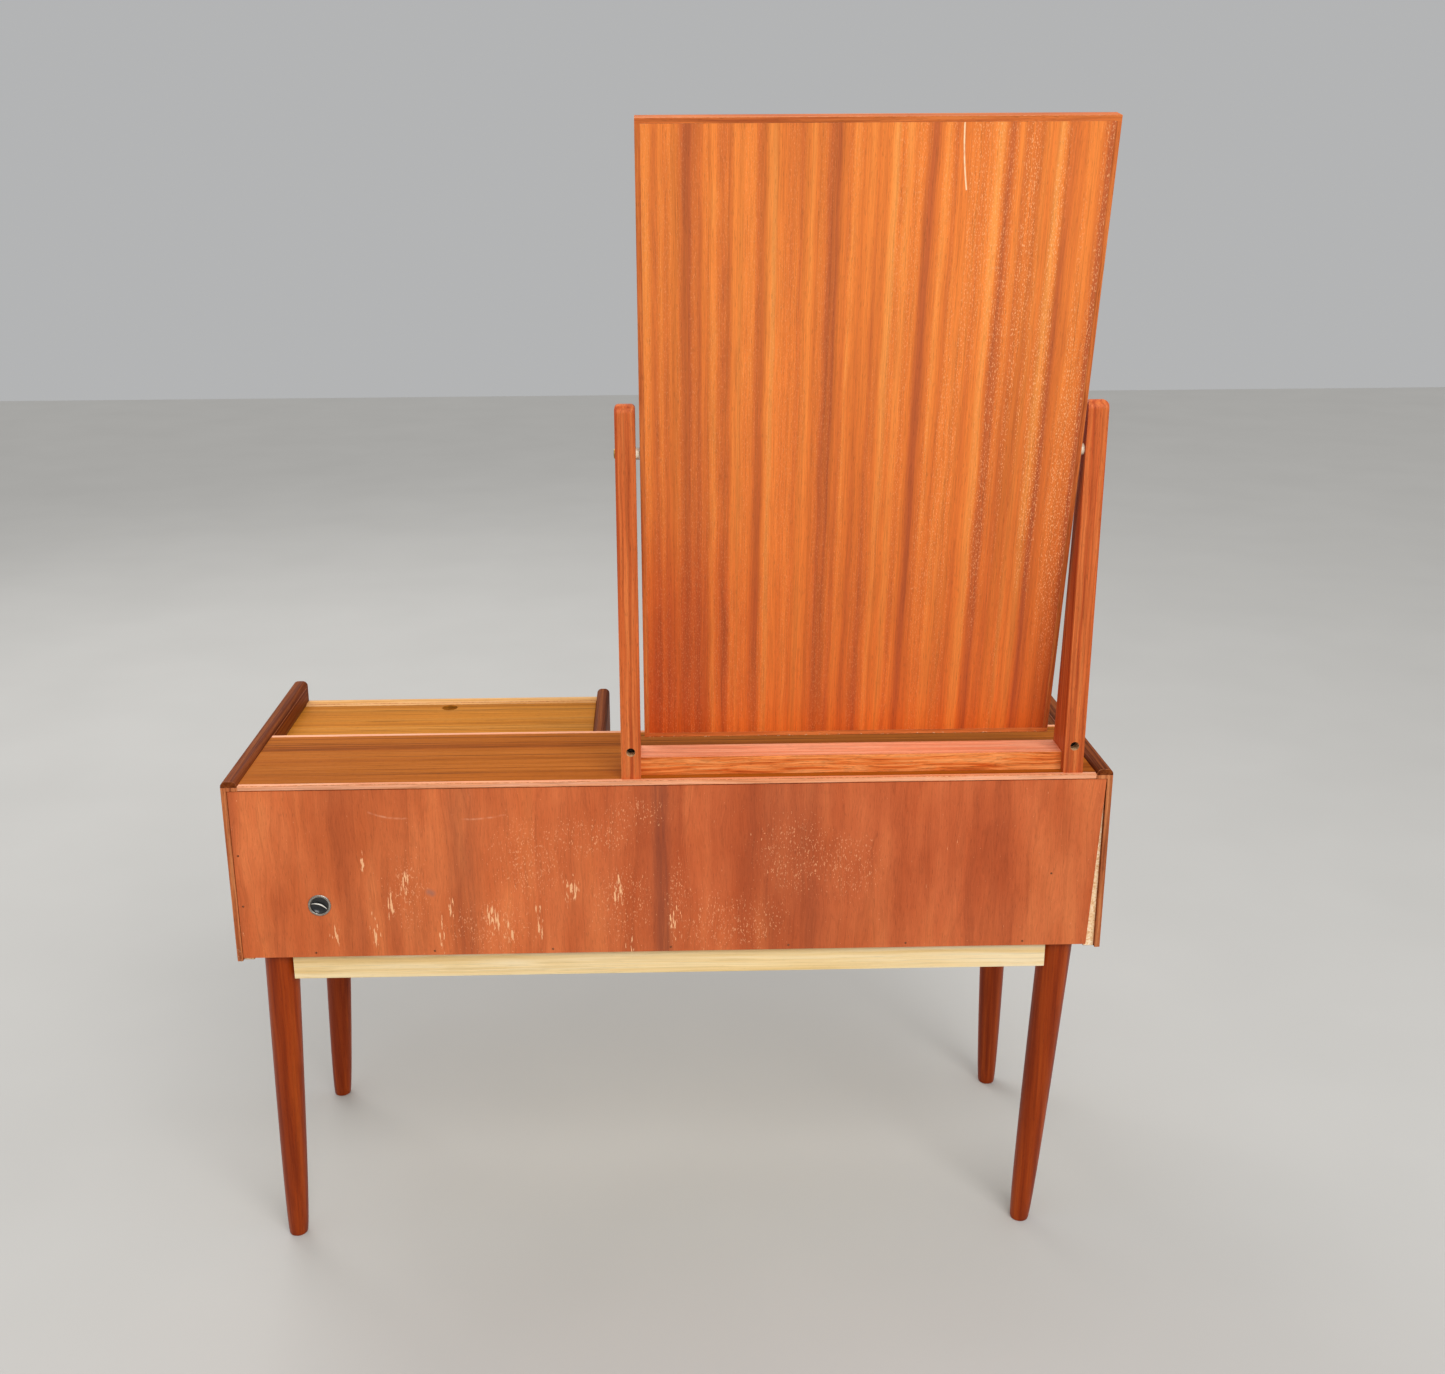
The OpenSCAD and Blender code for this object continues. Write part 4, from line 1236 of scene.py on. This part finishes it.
# %% [markdown]
# ## Heads where the real ones are
#
# The frame already holds the block screws and the pins, so each head goes where its CAD screw is
# and takes its place. The hinge and the knobs have no screws in the frame: the hinge gets a row
# with even spaces, and each knob gets one, on its axis inside the drawer.

# %% Screws and pins in their places
SUNK = 1 * MM
HINGE_SCREWS, HINGE_MARGIN, HINGE_ROW, LEAF = 9, 24 * MM, 8 * MM, 1 * MM

spots = middles("frame_screws", z=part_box("frame_screws")[0].z + SUNK)
piece = heads(
    "block_screw_heads", screw_rule, spots, DOWN, 4.4, 1.4, zinc, 3, "frame_screws"
)
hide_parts("frame_screws")

spots = middles("back_panel_pins", y=back_y - SUNK)
piece = heads(
    "panel_pin_heads", pin_rule, spots, BACK, 1.4, 0.5, rusted, 5, "back_panel"
)
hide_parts("back_panel_pins")

for node, facing, seed in (("hinge_fixed_leaf", FRONT, 7), ("hinge_lid_leaf", BACK, 9)):
    low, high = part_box(node)
    face_y = high.y - LEAF if facing == FRONT else low.y + LEAF
    spacing = (high.x - low.x - 2 * HINGE_MARGIN) / (HINGE_SCREWS - 1)
    spots = [
        Vector((low.x + HINGE_MARGIN + i * spacing, face_y, low.z + HINGE_ROW))
        for i in range(HINGE_SCREWS)
    ]
    heads(node + "_screws", screw_rule, spots, facing, 2.6, 0.7, brass, seed, node)

KNOBS = {"small_drawer_knob": "small_drawer_front", "wide_drawer_knobs": "wide_drawer_front"}
for (knobs, front), seed in zip(KNOBS.items(), (11, 13)):
    spots = middles(knobs, y=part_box(front)[1].y)
    heads(knobs + "_screws", screw_rule, spots, BACK, 4.2, 2.2, zinc, seed, front)

# %% [markdown]
# ## Splinters
#
# Where the lower edge of the mirror has been dragged over things, its strip is torn into short
# pale splinters, and so is one foot of the case. The rule walks along a line, drops a thin
# tapered sliver at each step, and throws each a little out of line, with a fixed seed so that
# every run gives the same ones.

# %% Splinters along an edge
splinter_rule, given = new_rule(
    "torn_edge", Start=Vector, End=Vector, Count=int, Length=float, Scatter=Vector, Seed=int,
    Finish=bpy.types.Material,
)
line = add(
    splinter_rule, "GeometryNodeCurvePrimitiveLine", {"Start": given["Start"], "End": given["End"]}
)
steps = add(splinter_rule, "GeometryNodeResampleCurve", {"Curve": line, "Count": given["Count"]})
back_scatter = add(
    splinter_rule, "ShaderNodeVectorMath", {0: given["Scatter"], "Scale": -1.0}, operation="SCALE"
)
throw = add(
    splinter_rule, "FunctionNodeRandomValue",
    {"Min": back_scatter, "Max": given["Scatter"], "Seed": given["Seed"]}, data_type="FLOAT_VECTOR",
)
thrown = add(splinter_rule, "GeometryNodeSetPosition", {"Geometry": steps, "Offset": throw})
sliver = add(
    splinter_rule, "GeometryNodeMeshCone",
    {"Vertices": 5, "Radius Top": 0.12 * MM, "Radius Bottom": 0.55 * MM, "Depth": given["Length"]},
)
lying = add(
    splinter_rule, "FunctionNodeRandomValue",
    {"Min": (-0.3, 1.15, -0.3), "Max": (0.3, 1.95, 0.3), "Seed": given["Seed"]},
    data_type="FLOAT_VECTOR",
)
size = add(
    splinter_rule, "FunctionNodeRandomValue", {"Min": 0.35, "Max": 1.3, "Seed": given["Seed"]},
    data_type="FLOAT",
)
strewn = add(
    splinter_rule, "GeometryNodeInstanceOnPoints",
    {"Points": thrown, "Instance": sliver.outputs["Mesh"], "Rotation": lying, "Scale": size},
)
close_rule(splinter_rule, strewn, given["Finish"])


def on_mirror(side_mm, out_mm, up_mm):
    """A point given in the mirror's own directions, in the frame."""
    tilt = Matrix.Rotation(-LEAN, 3, "X")
    return mirror_axis + tilt @ (Vector((side_mm, out_mm, up_mm)) * MM)


SPLINTER = 2.8 * MM
# The torn stretch of the mirror's lower edge, in the mirror's own millimetres
TORN_HALF, TORN_OUT, TORN_UP = 249, 10.9, mirror_down + 0.6
# The torn stretch at the foot of one end panel runs up from its lower corner
corner = Vector((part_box("right_end_panel")[1].x, back_y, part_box("right_end_panel")[0].z))
TORN = [
    # name, from, to, how many, scatter in mm, seed, the CAD node it belongs to
    ("mirror_edge_splinters", on_mirror(-TORN_HALF, TORN_OUT, TORN_UP),
     on_mirror(TORN_HALF, TORN_OUT, TORN_UP), 46, (9, 0.15, 0.7), 21, "mirror_lippings"),
    ("case_foot_splinters", corner + Vector((-4.5, 0, 1.5)) * MM,
     corner + Vector((-2.5, 0, 18)) * MM, 9, (2.4, 0.1, 2.0), 23, "right_end_panel"),
]
for name, start, end, count, scatter_mm, seed, node in TORN:
    piece = grow(
        name, splinter_rule, Start=start, End=end, Count=count, Length=SPLINTER,
        Scatter=Vector(scatter_mm) * MM, Seed=seed, Finish=raw_bore,
    )
    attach(piece, node_body[node])

# %% [markdown]
# ## Turned parts
#
# The knobs, and the rim and dish of the cap in the back, come off a lathe or out of a round
# mould. Each is a profile of radius against height, swept round once. The profile keeps only
# the points that its shape needs, and a Subdivision Surface rounds it between them. A pair of
# close points keeps an edge crisp.


# %% Lathe
LATHE_SIDES = 32


def lathe(name, profile, middle, facing, material, closed_ring=False):
    """A solid of (radius, height) points in mm, turned about an axis along Y.

    A closed ring joins its last point to its first. Otherwise both ends lie on the axis.
    """
    shape = bmesh.new()
    rings = []
    for radius, height in profile:
        along = Vector((0, facing * height * MM, 0))
        steps = range(1 if radius == 0 else LATHE_SIDES)
        turns = [2 * math.pi * i / LATHE_SIDES for i in steps]
        rings.append([
            shape.verts.new(middle + along + Vector((math.cos(a), 0, math.sin(a))) * radius * MM)
            for a in turns
        ])
    pairs = list(zip(rings, rings[1:])) + ([(rings[-1], rings[0])] if closed_ring else [])
    for first, second in pairs:
        for i in range(LATHE_SIDES):
            corners = [first[i % len(first)], first[(i + 1) % len(first)],
                       second[(i + 1) % len(second)], second[i % len(second)]]
            shape.faces.new(list(dict.fromkeys(corners)))
    bmesh.ops.recalc_face_normals(shape, faces=shape.faces)
    mesh = bpy.data.meshes.new(name)
    shape.to_mesh(mesh)
    shape.free()
    mesh.materials.append(material)
    mesh.shade_smooth()
    piece = in_scene(name, mesh)
    rounding = piece.modifiers.new("rounding", "SUBSURF")
    rounding.levels = rounding.render_levels = 2
    return piece


print("the lathe makes", LATHE_SIDES, "steps a turn")

# %% [markdown]
# ## The drawer knobs
#
# A knob is a small mushroom with a waist, turned from one piece. Thirteen points draw it: a foot
# that beds into the drawer front, the waist, the wide rim for the fingers, and a low dome.

# %% Knobs
KNOB_PROFILE = [
    (0, -0.2), (8.2, -0.2), (8.4, 0.2), (7.4, 2.4), (6.6, 6), (7.2, 9.6), (10.8, 14.4), (12.6, 17),
    (12.9, 18.2), (12.3, 19.8), (10.6, 20.9), (6.2, 21.6), (0, 21.9),
]
for knobs, front in KNOBS.items():
    for number, middle in enumerate(middles(knobs, y=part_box(front)[0].y), 1):
        knob = lathe(f"{knobs}_turned_{number}", KNOB_PROFILE, middle, -1, knob_teak)
        settle(knob, knobs)
print("knob reach", KNOB_PROFILE[-1][1], "mm")

# %% [markdown]
# ## The cap in the back
#
# A round opening for a cable is closed by a plated rim with a dark, glossy dish in it. A pale
# rib bends across the dish. The rim and the dish are turned. The rib is a curve with a round
# profile, which thins towards its ends, so a short geometry tree draws it.

# %% Cap
CAP_SUNK = 1 * MM
RIM_PROFILE = [
    (11.3, -4), (11.3, 0.7), (11.8, 1.3), (13.2, 1.45), (14.3, 1.0), (14.65, 0.15), (14.5, -0.1),
    (12.3, -0.1), (12.3, -4),
]
DISH_PROFILE = [
    (0, -4.4), (4, -4.2), (8, -3.3), (10.4, -1.9), (11.2, -0.9), (11.4, -1.2), (11.4, -5.6), (0, -6.5)
]
RIB_START, RIB_MIDDLE, RIB_END = (10.6, -1.4, 1.2), (-1.0, -2.6, 2.6), (-8.8, -1.6, -6.4)
RIB_HALF, RIB_TIP = 0.75 * MM, 0.2 * MM

cap_middle = middles("back_hole_cap", y=back_y - CAP_SUNK)[0]
rim = lathe("cap_rim", RIM_PROFILE, cap_middle, 1, nickel, closed_ring=True)
dish = lathe("cap_dish", DISH_PROFILE, cap_middle, 1, cap_black)

rib_rule, given = new_rule(
    "bent_rib", Start=Vector, Middle=Vector, End=Vector, Thickness=float, Finish=bpy.types.Material
)
bend = add(
    rib_rule, "GeometryNodeCurveQuadraticBezier",
    {"Resolution": 28, "Start": given["Start"], "Middle": given["Middle"], "End": given["End"]},
)
along = add(rib_rule, "GeometryNodeSplineParameter").outputs["Factor"]
arch = add(rib_rule, "ShaderNodeMath", {0: along, 1: math.pi}, operation="MULTIPLY")
swell = add(rib_rule, "ShaderNodeMath", {0: arch}, operation="SINE")
half = add(
    rib_rule, "ShaderNodeMath", {0: swell, 1: given["Thickness"], 2: RIB_TIP}, operation="MULTIPLY_ADD"
)
round_profile = add(rib_rule, "GeometryNodeCurvePrimitiveCircle", {"Resolution": 10, "Radius": 1.0})
swept = add(
    rib_rule, "GeometryNodeCurveToMesh",
    {"Curve": bend, "Profile Curve": round_profile.outputs["Curve"], "Scale": half, "Fill Caps": True},
)
close_rule(rib_rule, swept, given["Finish"])
rib = grow(
    "cap_rib", rib_rule, Start=cap_middle + Vector(RIB_START) * MM,
    Middle=cap_middle + Vector(RIB_MIDDLE) * MM, End=cap_middle + Vector(RIB_END) * MM,
    Thickness=RIB_HALF, Finish=cap_white,
)
for piece in (rim, dish, rib):
    settle(piece, "back_hole_cap")

# %% [markdown]
# ## Light and floor
#
# Plain studio light: one broad lamp high on the camera's side, a weaker one in front of the
# table so that its other sides are lit too, and a sky that is bright overhead and dimmer near
# the horizon. The dim horizon matters: flat boards seen at a slant mirror it, and a white one
# would bleach their colour. The floor is a pale, dull plane that catches soft shadows.

# %% Light and floor
FLOOR_REACH = 9.0
LAMPS = [
    # name, where it stands, what it shines at, side in metres, watts
    ("key", (-1.0, 3.0, 3.4), (0, 0, 0.7), 2.6, 120),
    ("front", (1.6, -2.6, 3.4), (0, 0, 0.6), 2.5, 60),
]
SKY_LOW, SKY_HIGH = 0.35, 0.95
GLOW_LOW, GLOW_HIGH = 0.5, 1.15

floor, tree = new_material("floor_pale")
mottle = streaks(tree, along_grain(tree, "x"), 400, 400, 0.3, 0.7, 0.0, 1.0)
pale = add(tree, "ShaderNodeMix", {"Factor": mottle, "A": "#b6b4b0", "B": "#b9b7b3"}, **OVER)
surface(tree, {"Base Color": pale, "Roughness": 0.9, "Specular IOR Level": 0.2})
floor_mesh = bpy.data.meshes.new("floor")
floor_mesh.from_pydata(
    [(x * FLOOR_REACH, y * FLOOR_REACH, 0) for x, y in ((-1, -1), (1, -1), (1, 1), (-1, 1))],
    [], [(0, 1, 2, 3)],
)
floor_mesh.materials.append(floor)
in_scene("floor", floor_mesh)

for name, place, aim, size, watts in LAMPS:
    light = bpy.data.lights.new(name, "AREA")
    light.shape, light.size, light.energy = "SQUARE", size, watts
    lamp = in_scene(name, light)
    lamp.location = place
    lamp.rotation_euler = (Vector(aim) - Vector(place)).to_track_quat("-Z", "Y").to_euler()

world = bpy.data.worlds.new("sky")
world.use_nodes = True
sky = world.node_tree
direction = add(sky, "ShaderNodeTexCoord").outputs["Generated"]
height = add(sky, "ShaderNodeSeparateXYZ", {"Vector": direction}).outputs["Z"]
glow = add(
    sky, "ShaderNodeMapRange",
    {
        "Value": height, "From Min": SKY_LOW, "From Max": SKY_HIGH, "To Min": GLOW_LOW,
        "To Max": GLOW_HIGH,
    },
)
sky.nodes["Background"].inputs["Color"].default_value = linear("#f4f5f6")
sky.links.new(glow.outputs[0], sky.nodes["Background"].inputs["Strength"])
bpy.context.scene.world = world
print("lamps:", len(bpy.data.lights))
